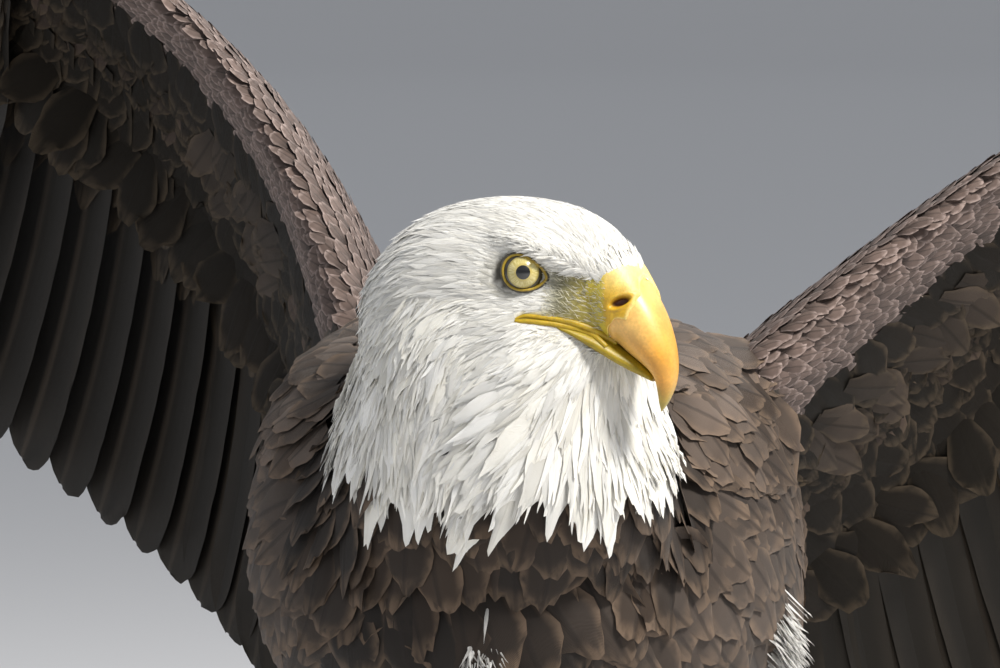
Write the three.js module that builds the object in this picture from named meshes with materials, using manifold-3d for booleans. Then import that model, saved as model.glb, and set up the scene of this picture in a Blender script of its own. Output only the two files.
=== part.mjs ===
// A life-size bald eagle, standing with half-raised wings, its head turned to its left.
// Millimetres, +Z up, the floor at z = 0, the bird facing -Y, so its left side is at +X.
// Every piece is a closed solid. Where two meet, the smaller is cut back to a gap of JOIN_GAP.
import * as THREE from "three";
import { mergeVertices } from "three/addons/utils/BufferGeometryUtils.js";
import Module from "manifold-3d";

const wasm = await Module();
wasm.setup();

// ---------------------------------------------------------------- driving dimensions
const JOIN_GAP = 0.3;
const DEG = Math.PI / 180;

// The group is moved by this so that the origin is under the middle of the bird's box.
const BOX_CENTRE = { x: -26, y: 207 };

// Trunk: centre line (y, z), half width, height above and depth below it, rump to crop.
const TRUNK = [
  { y: 182, z: 268, wide: 26, up: 24, down: 22 },
  { y: 146, z: 292, wide: 60, up: 56, down: 48 },
  { y: 88, z: 326, wide: 90, up: 90, down: 76 },
  { y: 28, z: 360, wide: 108, up: 114, down: 92 },
  { y: -28, z: 390, wide: 114, up: 117, down: 98 },
  { y: -74, z: 412, wide: 102, up: 96, down: 96 },
  { y: -106, z: 428, wide: 78, up: 66, down: 78 },
  { y: -124, z: 438, wide: 46, up: 38, down: 48 },
];
// How far the back's section is squared off, from 1 for an oval: the shoulders fill its corners.
const BACK_SQUARE = 0.68;

// Neck: centre, and its half width across and fore and aft, crop to skull.
const NECK = [
  { x: 14, y: -88, z: 398, wide: 60, deep: 54 },
  { x: 17, y: -99, z: 414, wide: 75, deep: 66 },
  { x: 20, y: -107, z: 434, wide: 75, deep: 65 },
  { x: 23, y: -116, z: 464, wide: 67, deep: 60 },
  { x: 27, y: -123, z: 488, wide: 52, deep: 50 },
  { x: 31, y: -129, z: 508, wide: 33, deep: 34 },
];

// Head: its own frame has its origin between the eyes, x along the bill, y to its left.
const HEAD = { at: [52, -138, 520], turn: 78 };
const SKULL = [
  { x: 42, wide: 8, top: -4, bottom: -28 },
  { x: 36, wide: 12.5, top: 6, bottom: -32 },
  { x: 27, wide: 17.5, top: 16.5, bottom: -34 },
  { x: 14, wide: 24.5, top: 23.5, bottom: -38 },
  { x: 0, wide: 30, top: 27, bottom: -43 },
  { x: -20, wide: 35.5, top: 28.5, bottom: -50 },
  { x: -42, wide: 37.5, top: 25, bottom: -54 },
  { x: -62, wide: 33, top: 14, bottom: -50 },
  { x: -78, wide: 19, top: -4, bottom: -36 },
];
const BROW = { x: 3, high: 9.5, proud: 3.4, long: 17, tall: 5 };
const LORE = { x: 13, high: -3, hollow: 3.2, long: 12, tall: 8 };

const EYE = { x: -2, y: 20.6, z: -0.5, radius: 10.6 };

// Bill profiles in the head's frame: ridge and edge points (x, z) and half width, base to tip.
const HORN = [
  { ridge: [39.5, -0.5], edge: [33, -30.5], wide: 13.2 },
  { ridge: [43.5, -6.5], edge: [37.5, -34], wide: 12.4 },
  { ridge: [49, -15.5], edge: [42.5, -37.5], wide: 10.8 },
  { ridge: [53.2, -25.5], edge: [45.8, -40.6], wide: 8.8 },
  { ridge: [55.6, -35.5], edge: [47.4, -43.6], wide: 6.7 },
  { ridge: [55.4, -44], edge: [47.9, -47.6], wide: 4.6 },
  { ridge: [52.8, -51], edge: [48.2, -52], wide: 2.6 },
  { ridge: [49.6, -55.4], edge: [48.9, -55.6], wide: 0.7 },
];
const CERE = [
  { ridge: [27, 9.5], edge: [20, -22], wide: 15.5 },
  { ridge: [33, 7], edge: [26, -26.5], wide: 14.8 },
  { ridge: [37.5, 2.2], edge: [31, -29.6], wide: 14 },
  { ridge: [40, -1], edge: [33.4, -31], wide: 13.6 },
];
// Lower bill: height of its upper and lower side, and half width, at each x.
const LOWER_BILL = [
  { x: -7, top: -17.8, bottom: -22, wide: 24.2 },
  { x: 4, top: -18.2, bottom: -25.6, wide: 23.8 },
  { x: 15, top: -20.6, bottom: -29.6, wide: 20.4 },
  { x: 26, top: -25.8, bottom: -34, wide: 15.8 },
  { x: 34, top: -32.6, bottom: -37.6, wide: 11.6 },
  { x: 41, top: -37.6, bottom: -41.6, wide: 7.6 },
  { x: 46, top: -42.4, bottom: -44.2, wide: 3.2 },
];

// Wings. "raise" and "sweep" turn the arm up and back from straight out, "chord" is the way
// the feathers trail from it. The right wing is held higher than the left.
const WINGS = {
  left: { side: 1, root: [73, 7, 446], raise: 33.5, sweep: 31, bow: 14, chord: [-0.084, 0.729, -0.679] },
  right: { side: -1, root: [-80, 8, 468], raise: 40, sweep: 25, bow: 35, chord: [-0.38, 0.74, -0.555] },
};
const ARM = { long: 318, nose: 22 };
// Forearm sections, shoulder to wrist: chord, and thickness from the upper side to the lower.
const ARM_SECTIONS = [
  { chord: 158, thick: 88 },
  { chord: 146, thick: 62 },
  { chord: 132, thick: 41 },
  { chord: 118, thick: 32 },
];
const HAND = { long: 150, chordTip: 46, thickTip: 10, bend: 0.42 };
const SECONDARIES = { count: 14, long: [228, 322], wide: 46, thick: 1.6, start: 96, droop: 34, splay: [-12, 8] };
const COVERTS = { wide: 74, thick: 12 };
const PRIMARIES = { count: 10, long: [322, 338, 362, 392, 424, 454, 478, 486, 470, 430], wide: 60 };
const PRIMARY = { thick: 1.6, start: 34, droop: 30, slimFrom: 0.45, slim: 0.5 };
const FAN = { first: 12, last: 74 };

const TAIL = { count: 12, long: 285, wide: 50, thick: 1.7, fan: 24, drop: 33, root: [0, 168, 262] };

// Legs: feathered thigh from hip to ankle, scaly shank, three toes ahead and one behind.
const LEG_SPREAD = 62;
const THIGH = [
  { y: 12, z: 318, wide: 40, deep: 52 },
  { y: 8, z: 274, wide: 43, deep: 56 },
  { y: 18, z: 226, wide: 37, deep: 47 },
  { y: 40, z: 178, wide: 27, deep: 33 },
  { y: 58, z: 136, wide: 18, deep: 22 },
  { y: 58, z: 106, wide: 12.5, deep: 14 },
];
const SHANK = { top: [60, 118], foot: [26, 17], radiusTop: 9.2, radiusFoot: 9.6 };
const TOES = [
  { name: "inner", turn: -38, long: 58, radius: 8.2, claw: 34 },
  { name: "middle", turn: 0, long: 78, radius: 8, claw: 31 },
  { name: "outer", turn: 42, long: 62, radius: 7.4, claw: 28 },
  { name: "hind", turn: 180, long: 44, radius: 8.4, claw: 37 },
];

// ---------------------------------------------------------------- materials
const finish = (color, roughness) => new THREE.MeshStandardMaterial({ color, roughness, metalness: 0 });
const WHITE_FEATHER = finish(0xf0eee8, 0.8);
const BROWN_FEATHER = finish(0x3d3129, 0.8);
const FLIGHT_FEATHER = finish(0x2a241e, 0.7);
const BILL_HORN = finish(0xe9a93a, 0.35);
const BILL_FLESH = finish(0xe8c21e, 0.45);
const EYE_GLOSS = finish(0xd9cd84, 0.08);
const SCALY_SKIN = finish(0xd9a81c, 0.55);
const CLAW_HORN = finish(0x1c1a18, 0.3);

// ---------------------------------------------------------------- making solids
const vec = (x, y, z) => new THREE.Vector3(x, y, z);

// A closed triangle mesh becomes a solid, turned right side out.
function solidOf(positions, triangles) {
  const geometry = new THREE.BufferGeometry();
  geometry.setAttribute("position", new THREE.Float32BufferAttribute(positions, 3));
  geometry.setIndex(triangles);
  const merged = mergeVertices(geometry, 1e-3);
  const index = Array.from(merged.index.array).reduce((kept, _, i, all) => {
    if (i % 3) return kept;
    const [a, b, c] = [all[i], all[i + 1], all[i + 2]];
    return a === b || b === c || a === c ? kept : (kept.push(a, b, c), kept);
  }, []);
  const build = (order) =>
    new wasm.Manifold(
      new wasm.Mesh({
        numProp: 3,
        vertProperties: merged.attributes.position.array,
        triVerts: new Uint32Array(order),
      }),
    );
  const made = build(index);
  return made.volume() > 0 ? made : build(index.reverse());
}

// Skins a row of rings, each the same number of points, and closes both ends at their middles.
function loft(rings) {
  const sides = rings[0].length;
  const middle = (ring) => ring.reduce((sum, p) => sum.add(p), vec(0, 0, 0)).divideScalar(sides);
  const points = [...rings.flat(), middle(rings[0]), middle(rings.at(-1))];
  const triangles = [];
  for (let i = 0; i < rings.length - 1; i++)
    for (let j = 0; j < sides; j++) {
      const a = i * sides + j;
      const b = i * sides + ((j + 1) % sides);
      triangles.push(a, b, a + sides, b, b + sides, a + sides);
    }
  const first = rings.length * sides;
  const lastRing = (rings.length - 1) * sides;
  for (let j = 0; j < sides; j++) {
    const next = (j + 1) % sides;
    triangles.push(first, next, j, first + 1, lastRing + j, lastRing + next);
  }
  return solidOf(points.flatMap((p) => [p.x, p.y, p.z]), triangles);
}

// Smooth values between the rows of a table, by a Catmull-Rom spline through each column.
function between(rows, share, key) {
  const at = share * (rows.length - 1);
  const i = Math.min(Math.floor(at), rows.length - 2);
  const t = at - i;
  const value = (k) => rows[Math.min(Math.max(k, 0), rows.length - 1)][key];
  const [p0, p1, p2, p3] = [value(i - 1), value(i), value(i + 1), value(i + 2)];
  return (
    p1 +
    0.5 * t * (p2 - p0 + t * (2 * p0 - 5 * p1 + 4 * p2 - p3 + t * (3 * (p1 - p2) + p3 - p0)))
  );
}

const steps = (count) => Array.from({ length: count + 1 }, (_, i) => i / count);
const turns = (sides) => Array.from({ length: sides }, (_, i) => (i / sides) * 2 * Math.PI);

function ballOf(centre, radius, detail) {
  const ball = new THREE.IcosahedronGeometry(radius, detail);
  ball.translate(centre.x, centre.y, centre.z);
  const points = Array.from(ball.attributes.position.array);
  return solidOf(points, points.filter((_, i) => i % 3 === 0).map((_, i) => i));
}

const signedPower = (value, power) => Math.sign(value) * Math.abs(value) ** power;

// The largest body of a solid, without the crumbs that a cut can leave.
const mainBody = (solid) => solid.decompose().sort((a, b) => b.volume() - a.volume())[0];

function cutBack(solid, ...neighbours) {
  return mainBody(neighbours.reduce((left, other) => left.subtract(other), solid));
}

// ---------------------------------------------------------------- trunk, neck and head
function trunkSolid(grow = 0) {
  const rings = steps(12).map((share) => {
    const ahead = Math.min(share + 0.02, 1);
    const behind = Math.max(share - 0.02, 0);
    const dy = between(TRUNK, ahead, "y") - between(TRUNK, behind, "y");
    const dz = between(TRUNK, ahead, "z") - between(TRUNK, behind, "z");
    const upward = vec(0, dz, -dy).normalize();
    const middle = vec(0, between(TRUNK, share, "y"), between(TRUNK, share, "z"));
    if (share === 0 || share === 1) middle.add(vec(0, dy, dz).setLength(share ? grow : -grow));
    return turns(18).map((angle) => {
      const back = Math.cos(angle) > 0;
      const power = back ? BACK_SQUARE : 1;
      const over = (between(TRUNK, share, back ? "up" : "down") + grow) * signedPower(Math.cos(angle), power);
      const out = (between(TRUNK, share, "wide") + grow) * signedPower(Math.sin(angle), power);
      return middle.clone().add(vec(out, 0, 0)).addScaledVector(upward, over);
    });
  });
  return loft(rings);
}

// A sleeve along the z of its table, with flat oval rings.
function sleeve(table, x, ringCount, sides, grow) {
  return loft(
    steps(ringCount).map((share) =>
      turns(sides).map((angle) =>
        vec(
          (x ?? between(table, share, "x")) + (between(table, share, "wide") + grow) * Math.sin(angle),
          between(table, share, "y") + (between(table, share, "deep") + grow) * Math.cos(angle),
          between(table, share, "z") + (share === 0 || share === 1 ? (share - 0.5) * 2 * grow : 0) *
            Math.sign(between(table, 1, "z") - between(table, 0, "z")),
        ),
      ),
    ),
  );
}

const neckSolid = (grow = 0) => sleeve(NECK, null, 6, 16, grow);

// Head frame: x ahead, y left, z up, placed and turned as HEAD says.
function headPoint(x, y, z) {
  return vec(x, y, z)
    .applyAxisAngle(vec(0, 0, 1), (HEAD.turn - 90) * DEG)
    .add(vec(...HEAD.at));
}

const bell = (value, centre, spread) => Math.exp(-(((value - centre) / spread) ** 2));

// Skull section at x: an oval with a brow ridge over the eye and a hollow before it.
function skullPoint(share, angle, grow) {
  const x = between(SKULL, share, "x");
  const top = between(SKULL, share, "top");
  const bottom = between(SKULL, share, "bottom");
  const z = (top + bottom) / 2 + ((top - bottom) / 2 + grow) * Math.cos(angle);
  const out = signedPower(Math.sin(angle), 0.82);
  const ridge = BROW.proud * bell(x, BROW.x, BROW.long) * bell(z, BROW.high, BROW.tall);
  const dip = LORE.hollow * bell(x, LORE.x, LORE.long) * bell(z, LORE.high, LORE.tall);
  return [x, (between(SKULL, share, "wide") + grow) * out + Math.sign(out) * (ridge - dip), z];
}

function skullSolid(grow = 0) {
  return loft(
    steps(12).map((share) => turns(18).map((angle) => headPoint(...skullPoint(share, angle, grow)))),
  );
}

// Upper bill: ovals spanned between a ridge point and an edge point.
function billLoft(rows, ringCount, grow = 0) {
  const flat = rows.map(({ ridge, edge, wide }) => ({
    ridgeX: ridge[0],
    ridgeZ: ridge[1],
    edgeX: edge[0],
    edgeZ: edge[1],
    wide,
  }));
  return loft(
    steps(ringCount).map((share) =>
      turns(10).map((angle) => {
        const ridge = vec(between(flat, share, "ridgeX"), 0, between(flat, share, "ridgeZ"));
        const edge = vec(between(flat, share, "edgeX"), 0, between(flat, share, "edgeZ"));
        const reach = ridge.clone().sub(edge).multiplyScalar(0.5);
        const stretch = 1 + grow / reach.length();
        const p = ridge.clone().add(edge).multiplyScalar(0.5).addScaledVector(reach, stretch * Math.cos(angle));
        const out = (between(flat, share, "wide") + grow) * signedPower(Math.sin(angle), 0.8);
        return headPoint(p.x, out, p.z);
      }),
    ),
  );
}

// The lower bill: flat ovals across the mouth, blunt at the sides.
function mouthLoft(rows, ringCount, grow = 0) {
  return loft(
    steps(ringCount).map((share) =>
      turns(10).map((angle) => {
        const top = between(rows, share, "top") + grow;
        const bottom = between(rows, share, "bottom") - grow;
        const out = (between(rows, share, "wide") + grow) * signedPower(Math.sin(angle), 0.45);
        const x = between(rows, share, "x") + (share === 0 ? -grow : share === 1 ? grow : 0);
        const z = (top + bottom) / 2 + ((top - bottom) / 2) * Math.cos(angle);
        return headPoint(x, out, z);
      }),
    ),
  );
}

const eyeSolid = (side, grow = 0) =>
  ballOf(headPoint(EYE.x, side * EYE.y, EYE.z), EYE.radius + grow, 2);

// ---------------------------------------------------------------- wings
// The arm's own axes: along it, the way the feathers trail, and the upper side's normal.
function wingAxes(wing) {
  const arm = vec(
    wing.side * Math.cos(wing.raise * DEG) * Math.cos(wing.sweep * DEG),
    Math.cos(wing.raise * DEG) * Math.sin(wing.sweep * DEG),
    Math.sin(wing.raise * DEG),
  );
  const upper = arm.clone().cross(vec(...wing.chord)).multiplyScalar(wing.side).normalize();
  const trail = upper.clone().cross(arm).multiplyScalar(wing.side).normalize();
  const hand = arm.clone().addScaledVector(trail, HAND.bend).normalize();
  const handTrail = upper.clone().cross(hand).multiplyScalar(wing.side).normalize();
  return { arm, trail, upper, hand, handTrail };
}

// The leading edge rises in a low bow between shoulder and wrist.
function alongArm(wing, axes, distance) {
  const bow = wing.bow * Math.sin((Math.PI * distance) / ARM.long);
  return vec(...wing.root).addScaledVector(axes.arm, distance).addScaledVector(axes.upper, bow);
}

// A wing section: blunt at the front, thin behind, with a hollowed underside.
function wingSection(front, trail, upper, chord, thick, grow) {
  const sides = 12;
  return turns(sides).map((angle, i) => {
    const share = (1 - Math.cos(angle)) / 2;
    const half = (thick / 2) * (1.48 * Math.sqrt(share) - 0.63 * share - 0.85 * share ** 2) + 1.6 + grow;
    const face = i === 0 || i === sides / 2 ? 0 : Math.sign(Math.sin(angle));
    const hollow = 0.1 * chord * Math.sin(Math.PI * share);
    return front
      .clone()
      .addScaledVector(trail, chord * share - ARM.nose - grow * Math.cos(angle))
      .addScaledVector(upper, hollow + half * face);
  });
}

function armSolid(wing, grow = 0) {
  const axes = wingAxes(wing);
  return loft(
    steps(6).map((share) => {
      const chord = between(ARM_SECTIONS, share, "chord");
      const thick = between(ARM_SECTIONS, share, "thick");
      return wingSection(alongArm(wing, axes, ARM.long * share), axes.trail, axes.upper, chord, thick, grow);
    }),
  );
}

const wristPoint = (wing, axes) => alongArm(wing, axes, ARM.long);

function handSolid(wing, grow = 0) {
  const axes = wingAxes(wing);
  const wrist = ARM_SECTIONS.at(-1);
  return loft(
    steps(4).map((share) => {
      const turn = Math.min(share * 2, 1);
      const trail = axes.trail.clone().lerp(axes.handTrail, turn).normalize();
      const front = wristPoint(wing, axes).addScaledVector(axes.hand, HAND.long * (share - 0.08));
      const chord = THREE.MathUtils.lerp(wrist.chord, HAND.chordTip, share ** 0.8);
      const thick = THREE.MathUtils.lerp(wrist.thick, HAND.thickTip, share);
      return wingSection(front, trail, axes.upper, chord, thick, grow);
    }),
  );
}

// A flight feather: a thin blade with a rounded tip that curves towards its underside.
function bladeSolid(root, along, across, upper, size) {
  const slimFrom = size.slimFrom ?? 1;
  const halfWidth = (t) => {
    const round = Math.sqrt(Math.max(0, 1 - Math.max(0, (t - 0.84) / 0.16) ** 2));
    const slim = t > slimFrom ? size.slim : 1;
    return size.wide * 0.5 * (0.64 + 0.36 * Math.min(1, t / 0.3)) * slim * Math.max(round, 0.35);
  };
  const shares = size.slimFrom ? [0, slimFrom, slimFrom + 0.14, 0.92, 1] : [0, 0.4, 0.92, 1];
  return loft(
    shares.map((t) => {
      const spine = root
        .clone()
        .addScaledVector(along, size.long * t)
        .addScaledVector(upper, -size.droop * t * t);
      const half = halfWidth(t);
      const thick = size.thick * (1 - 0.55 * t);
      return [
        [-half, 0],
        [0, thick],
        [half, 0],
        [0, -thick],
      ].map(([w, h]) => spine.clone().addScaledVector(across, w).addScaledVector(upper, h));
    }),
  );
}

// A blade turned by its splay from the trailing direction towards the wing's tip.
function wingBlade(wing, axes, root, splay, size) {
  const along = axes.trail
    .clone()
    .multiplyScalar(Math.cos(splay))
    .addScaledVector(axes.arm, Math.sin(splay))
    .normalize();
  const flat = axes.upper.clone().applyAxisAngle(along, -wing.side * 5 * DEG);
  return bladeSolid(root, along, along.clone().cross(flat).normalize(), flat, size);
}

const union = (solids) => solids.reduce((all, one) => all.add(one));

// Secondaries stand side by side along the forearm; each lies a little over the next.
function secondaryBlades(wing) {
  const axes = wingAxes(wing);
  const count = SECONDARIES.count;
  return steps(count - 1).map((share) => {
    const root = alongArm(wing, axes, THREE.MathUtils.lerp(46, ARM.long - 4, share))
      .addScaledVector(axes.trail, SECONDARIES.start - ARM.nose)
      .addScaledVector(axes.upper, 6);
    const splay = THREE.MathUtils.lerp(...SECONDARIES.splay, share) * DEG;
    const long = THREE.MathUtils.lerp(...SECONDARIES.long, share);
    return wingBlade(wing, axes, root, splay, { ...SECONDARIES, long });
  });
}

// The greater coverts: a thin band across the roots of the secondaries, which ties them together.
function covertBand(wing) {
  const axes = wingAxes(wing);
  return loft(
    steps(3).map((share) => {
      const root = alongArm(wing, axes, THREE.MathUtils.lerp(38, ARM.long - 2, share))
        .addScaledVector(axes.trail, SECONDARIES.start - ARM.nose + COVERTS.wide / 2)
        .addScaledVector(axes.upper, 5);
      return [
        [-1, 0],
        [0, 1],
        [1, 0],
        [0, -1],
      ].map(([along, up]) =>
        root
          .clone()
          .addScaledVector(axes.trail, (along * COVERTS.wide) / 2)
          .addScaledVector(axes.upper, (up * COVERTS.thick) / 2),
      );
    }),
  );
}

// Primaries fan from the hand, the outer ones narrowed towards their tips.
function primaryBlades(wing) {
  const axes = wingAxes(wing);
  const count = PRIMARIES.count;
  return steps(count - 1).map((share, i) => {
    const root = wristPoint(wing, axes)
      .addScaledVector(axes.hand, THREE.MathUtils.lerp(4, HAND.long - 22, share))
      .addScaledVector(axes.handTrail, THREE.MathUtils.lerp(PRIMARY.start + 20, 4, share))
      .addScaledVector(axes.upper, 4);
    const splay = THREE.MathUtils.lerp(FAN.first, FAN.last, share ** 0.92) * DEG;
    const slimFrom = i >= 3 ? PRIMARY.slimFrom + 0.02 * (9 - i) : undefined;
    const { long, wide } = { long: PRIMARIES.long[i], wide: PRIMARIES.wide };
    return wingBlade(wing, axes, root, splay, { ...PRIMARY, long, wide, slimFrom });
  });
}

// ---------------------------------------------------------------- tail
function tailBlades() {
  const drop = TAIL.drop * DEG;
  const back = vec(0, Math.cos(drop), -Math.sin(drop));
  const upper = vec(0, Math.sin(drop), Math.cos(drop));
  return steps(TAIL.count - 1).map((share) => {
    const side = share * 2 - 1;
    const splay = side * TAIL.fan * DEG;
    const along = back.clone().multiplyScalar(Math.cos(splay)).addScaledVector(vec(1, 0, 0), Math.sin(splay));
    const flat = upper.clone().applyAxisAngle(back, side * 14 * DEG);
    const across = along.clone().cross(flat).normalize();
    const root = vec(...TAIL.root).add(vec(side * 22, 0, 0)).addScaledVector(upper, 3 - 4 * side * side);
    const long = TAIL.long * (1 - 0.05 * side * side);
    return bladeSolid(root, along, across, flat, { ...TAIL, long, droop: 10 });
  });
}

// ---------------------------------------------------------------- legs
const thighSolid = (side, grow = 0) => sleeve(THIGH, side * LEG_SPREAD, 6, 10, grow);

// A round bar through points, with a radius at each.
function bar(points, radii, sides) {
  return loft(
    points.map((p, i) => {
      const ahead = points[Math.min(i + 1, points.length - 1)];
      const behind = points[Math.max(i - 1, 0)];
      const way = ahead.clone().sub(behind).normalize();
      const across = vec(-way.y, way.x, 0).lengthSq() > 0.01 ? vec(-way.y, way.x, 0).normalize() : vec(1, 0, 0);
      const over = way.clone().cross(across).normalize();
      return turns(sides).map((angle) =>
        p
          .clone()
          .addScaledVector(across, radii[i] * Math.cos(angle))
          .addScaledVector(over, radii[i] * Math.sin(angle)),
      );
    }),
  );
}

function shankSolid(side, grow = 0) {
  const [top, foot] = [SHANK.top, SHANK.foot];
  const x = side * LEG_SPREAD;
  const rows = [0, 0.12, 0.4, 0.75, 1];
  const swell = [1.06, 1.12, 0.92, 0.96, 1.3];
  const points = rows.map((t) =>
    vec(x, THREE.MathUtils.lerp(top[0], foot[0], t), THREE.MathUtils.lerp(top[1], foot[1], t)),
  );
  const radii = rows.map(
    (t, i) => THREE.MathUtils.lerp(SHANK.radiusTop, SHANK.radiusFoot, t) * swell[i] + grow,
  );
  return bar(points, radii, 10).trimByPlane([0, 0, 1], 0);
}

// A toe arches from the shank's foot and lies on its pad; its underside is cut flat at the floor.
function toeFrame(side, toe) {
  const turn = side * -toe.turn * DEG;
  const way = vec(-Math.sin(turn), -Math.cos(turn), 0);
  const start = vec(side * LEG_SPREAD, SHANK.foot[0], 0);
  return (reach, height) => start.clone().addScaledVector(way, reach).add(vec(0, 0, height));
}

function toeSolid(side, toe, grow = 0) {
  const at = toeFrame(side, toe);
  const shares = [0, 0.2, 0.48, 0.8, 1];
  const arch = [1.6, 1.3, 0.82, 0.76, 0.98];
  const swell = [1.05, 1.05, 1.0, 0.9, 0.7];
  const points = shares.map((t, i) => at(6 + toe.long * t, toe.radius * arch[i]));
  const radii = swell.map((s) => s * toe.radius + grow);
  return bar(points, radii, 7).trimByPlane([0, 0, 1], 0);
}

// A claw is a curved cone that leaves the toe's end upwards and comes down to the floor.
function clawSolid(side, toe, grow = 0) {
  const at = toeFrame(side, toe);
  const points = steps(3).map((t) => {
    const sweep = (-28 + 118 * t) * DEG;
    const radius = toe.claw / 1.75;
    const reach = toe.long + 2 + radius * (Math.sin(sweep) - Math.sin(-28 * DEG));
    return at(reach, toe.radius * 1.15 + radius * (Math.cos(sweep) - Math.cos(-28 * DEG)));
  });
  const lowest = points.at(-1).z;
  points.forEach((p, i) => (p.z += Math.max(0, 0.9 - lowest) * (i / (points.length - 1))));
  const radii = steps(3).map((t) => toe.radius * 0.58 * (1 - t) ** 0.8 + 0.45 + grow);
  return bar(points, radii, 5).trimByPlane([0, 0, 1], 0);
}

// ---------------------------------------------------------------- the whole bird
const eagle = new THREE.Group();

function addPiece(name, solid, material) {
  const { numProp, vertProperties, triVerts, numVert } = solid.getMesh();
  const positions = new Float32Array(numVert * 3);
  for (let i = 0; i < numVert; i++) positions.set(vertProperties.subarray(i * numProp, i * numProp + 3), i * 3);
  const geometry = new THREE.BufferGeometry();
  geometry.setAttribute("position", new THREE.BufferAttribute(positions, 3));
  geometry.setIndex(new THREE.BufferAttribute(triVerts, 1));
  const mesh = new THREE.Mesh(geometry, material);
  mesh.name = name;
  eagle.add(mesh);
}

const sides = [
  ["left", 1],
  ["right", -1],
];
const trunkGrown = trunkSolid(JOIN_GAP);
const skullGrown = skullSolid(JOIN_GAP);
const neckGrown = neckSolid(JOIN_GAP);

const tail = union(tailBlades());
addPiece("tail", cutBack(tail, trunkGrown), WHITE_FEATHER);
addPiece("trunk", trunkSolid(), BROWN_FEATHER);

const eyes = sides.map(([, side]) => eyeSolid(side, JOIN_GAP));
const horn = billLoft(HORN, 9);
const hornGrown = billLoft(HORN, 9, JOIN_GAP);
const lowerBill = mouthLoft(LOWER_BILL, 7);
const lowerBillGrown = mouthLoft(LOWER_BILL, 7, JOIN_GAP);
const cereGrown = billLoft(CERE, 4, JOIN_GAP);
const billGrown = [hornGrown, lowerBillGrown, cereGrown];
addPiece("neck", cutBack(neckSolid(), trunkGrown, skullGrown, ...billGrown), WHITE_FEATHER);
addPiece("head", cutBack(skullSolid(), ...eyes, ...billGrown), WHITE_FEATHER);
addPiece("bill_upper", horn, BILL_HORN);
addPiece("bill_lower", cutBack(lowerBill, hornGrown, cereGrown), BILL_FLESH);
addPiece("cere", cutBack(billLoft(CERE, 4), hornGrown), BILL_FLESH);

for (const [name, side] of sides) {
  addPiece(`eye_${name}`, eyeSolid(side), EYE_GLOSS);

  const wing = WINGS[name];
  const armGrown = armSolid(wing, JOIN_GAP);
  const handGrown = handSolid(wing, JOIN_GAP);
  const flight = union([...secondaryBlades(wing), covertBand(wing), ...primaryBlades(wing)]);
  addPiece(`wing_${name}_arm`, cutBack(armSolid(wing), trunkGrown, neckGrown), BROWN_FEATHER);
  addPiece(`wing_${name}_hand`, cutBack(handSolid(wing), armGrown), BROWN_FEATHER);
  addPiece(`wing_${name}_flight`, cutBack(flight, armGrown, handGrown, trunkGrown), FLIGHT_FEATHER);

  const thighGrown = thighSolid(side, JOIN_GAP);
  const shankGrown = shankSolid(side, JOIN_GAP);
  addPiece(`leg_${name}_thigh`, cutBack(thighSolid(side), trunkGrown), BROWN_FEATHER);
  addPiece(`leg_${name}_shank`, cutBack(shankSolid(side), thighGrown), SCALY_SKIN);
  let placed = shankGrown;
  for (const toe of TOES) {
    addPiece(`toe_${name}_${toe.name}`, cutBack(toeSolid(side, toe), placed), SCALY_SKIN);
    placed = placed.add(toeSolid(side, toe, JOIN_GAP));
    addPiece(`claw_${name}_${toe.name}`, cutBack(clawSolid(side, toe), toeSolid(side, toe, JOIN_GAP)), CLAW_HORN);
  }
}

eagle.position.set(-BOX_CENTRE.x, -BOX_CENTRE.y, 0);

export default eagle;
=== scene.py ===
"""A life-size bald eagle on its own feet, wings half raised and head turned to its left.

Sizes are in millimetres in the eagle's own frame, where the bird faces -Y and its left is +X.
The function placed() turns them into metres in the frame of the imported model.
"""
import math

import bmesh
import bpy
import numpy as np
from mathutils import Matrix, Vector
from mathutils.bvhtree import BVHTree
from mathutils.kdtree import KDTree


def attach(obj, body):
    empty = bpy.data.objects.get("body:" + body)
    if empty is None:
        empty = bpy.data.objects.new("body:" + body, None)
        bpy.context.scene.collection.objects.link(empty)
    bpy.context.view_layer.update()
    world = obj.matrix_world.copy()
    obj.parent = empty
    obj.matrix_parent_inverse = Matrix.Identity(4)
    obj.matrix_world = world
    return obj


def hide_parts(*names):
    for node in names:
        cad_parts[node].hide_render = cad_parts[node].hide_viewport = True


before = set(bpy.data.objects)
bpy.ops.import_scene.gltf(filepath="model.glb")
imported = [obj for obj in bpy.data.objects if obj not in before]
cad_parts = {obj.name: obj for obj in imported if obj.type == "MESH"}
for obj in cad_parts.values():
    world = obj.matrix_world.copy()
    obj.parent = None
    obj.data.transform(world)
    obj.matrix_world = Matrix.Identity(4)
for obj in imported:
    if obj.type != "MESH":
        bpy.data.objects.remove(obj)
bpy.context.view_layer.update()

rng = np.random.default_rng(7)

# ---------------------------------------------------------------- camera, floor and lights
# A plain pale floor and wall under soft studio light, a high key from the bird's left
# front, and a long lens at the height of the eye, a little to the bird's left.
MM = 0.001
UP = np.array([0, 0, 1.0])
MODEL_CENTRE = np.array([-26.0, 207.0, 0.0])
HEAD_AT = np.array([52.0, -138.0, 520.0])
HEAD_TURN = math.radians(-12)
EYE_AT = {"left": np.array([-2.0, 20.6, -0.5]), "right": np.array([-2.0, -20.6, -0.5])}


def placed(points):
    """Eagle millimetres to model metres: the point less the model's centre, times 0.001."""
    return (np.asarray(points, float) - MODEL_CENTRE) * MM


def head_point(points):
    """Head frame (x ahead, y left, z up) to eagle frame: turned about Z, then moved to its place."""
    p = np.asarray(points, float)
    c, s = math.cos(HEAD_TURN), math.sin(HEAD_TURN)
    turned = np.stack([p[..., 0] * c - p[..., 1] * s, p[..., 0] * s + p[..., 1] * c, p[..., 2]], -1)
    return turned + HEAD_AT


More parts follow.
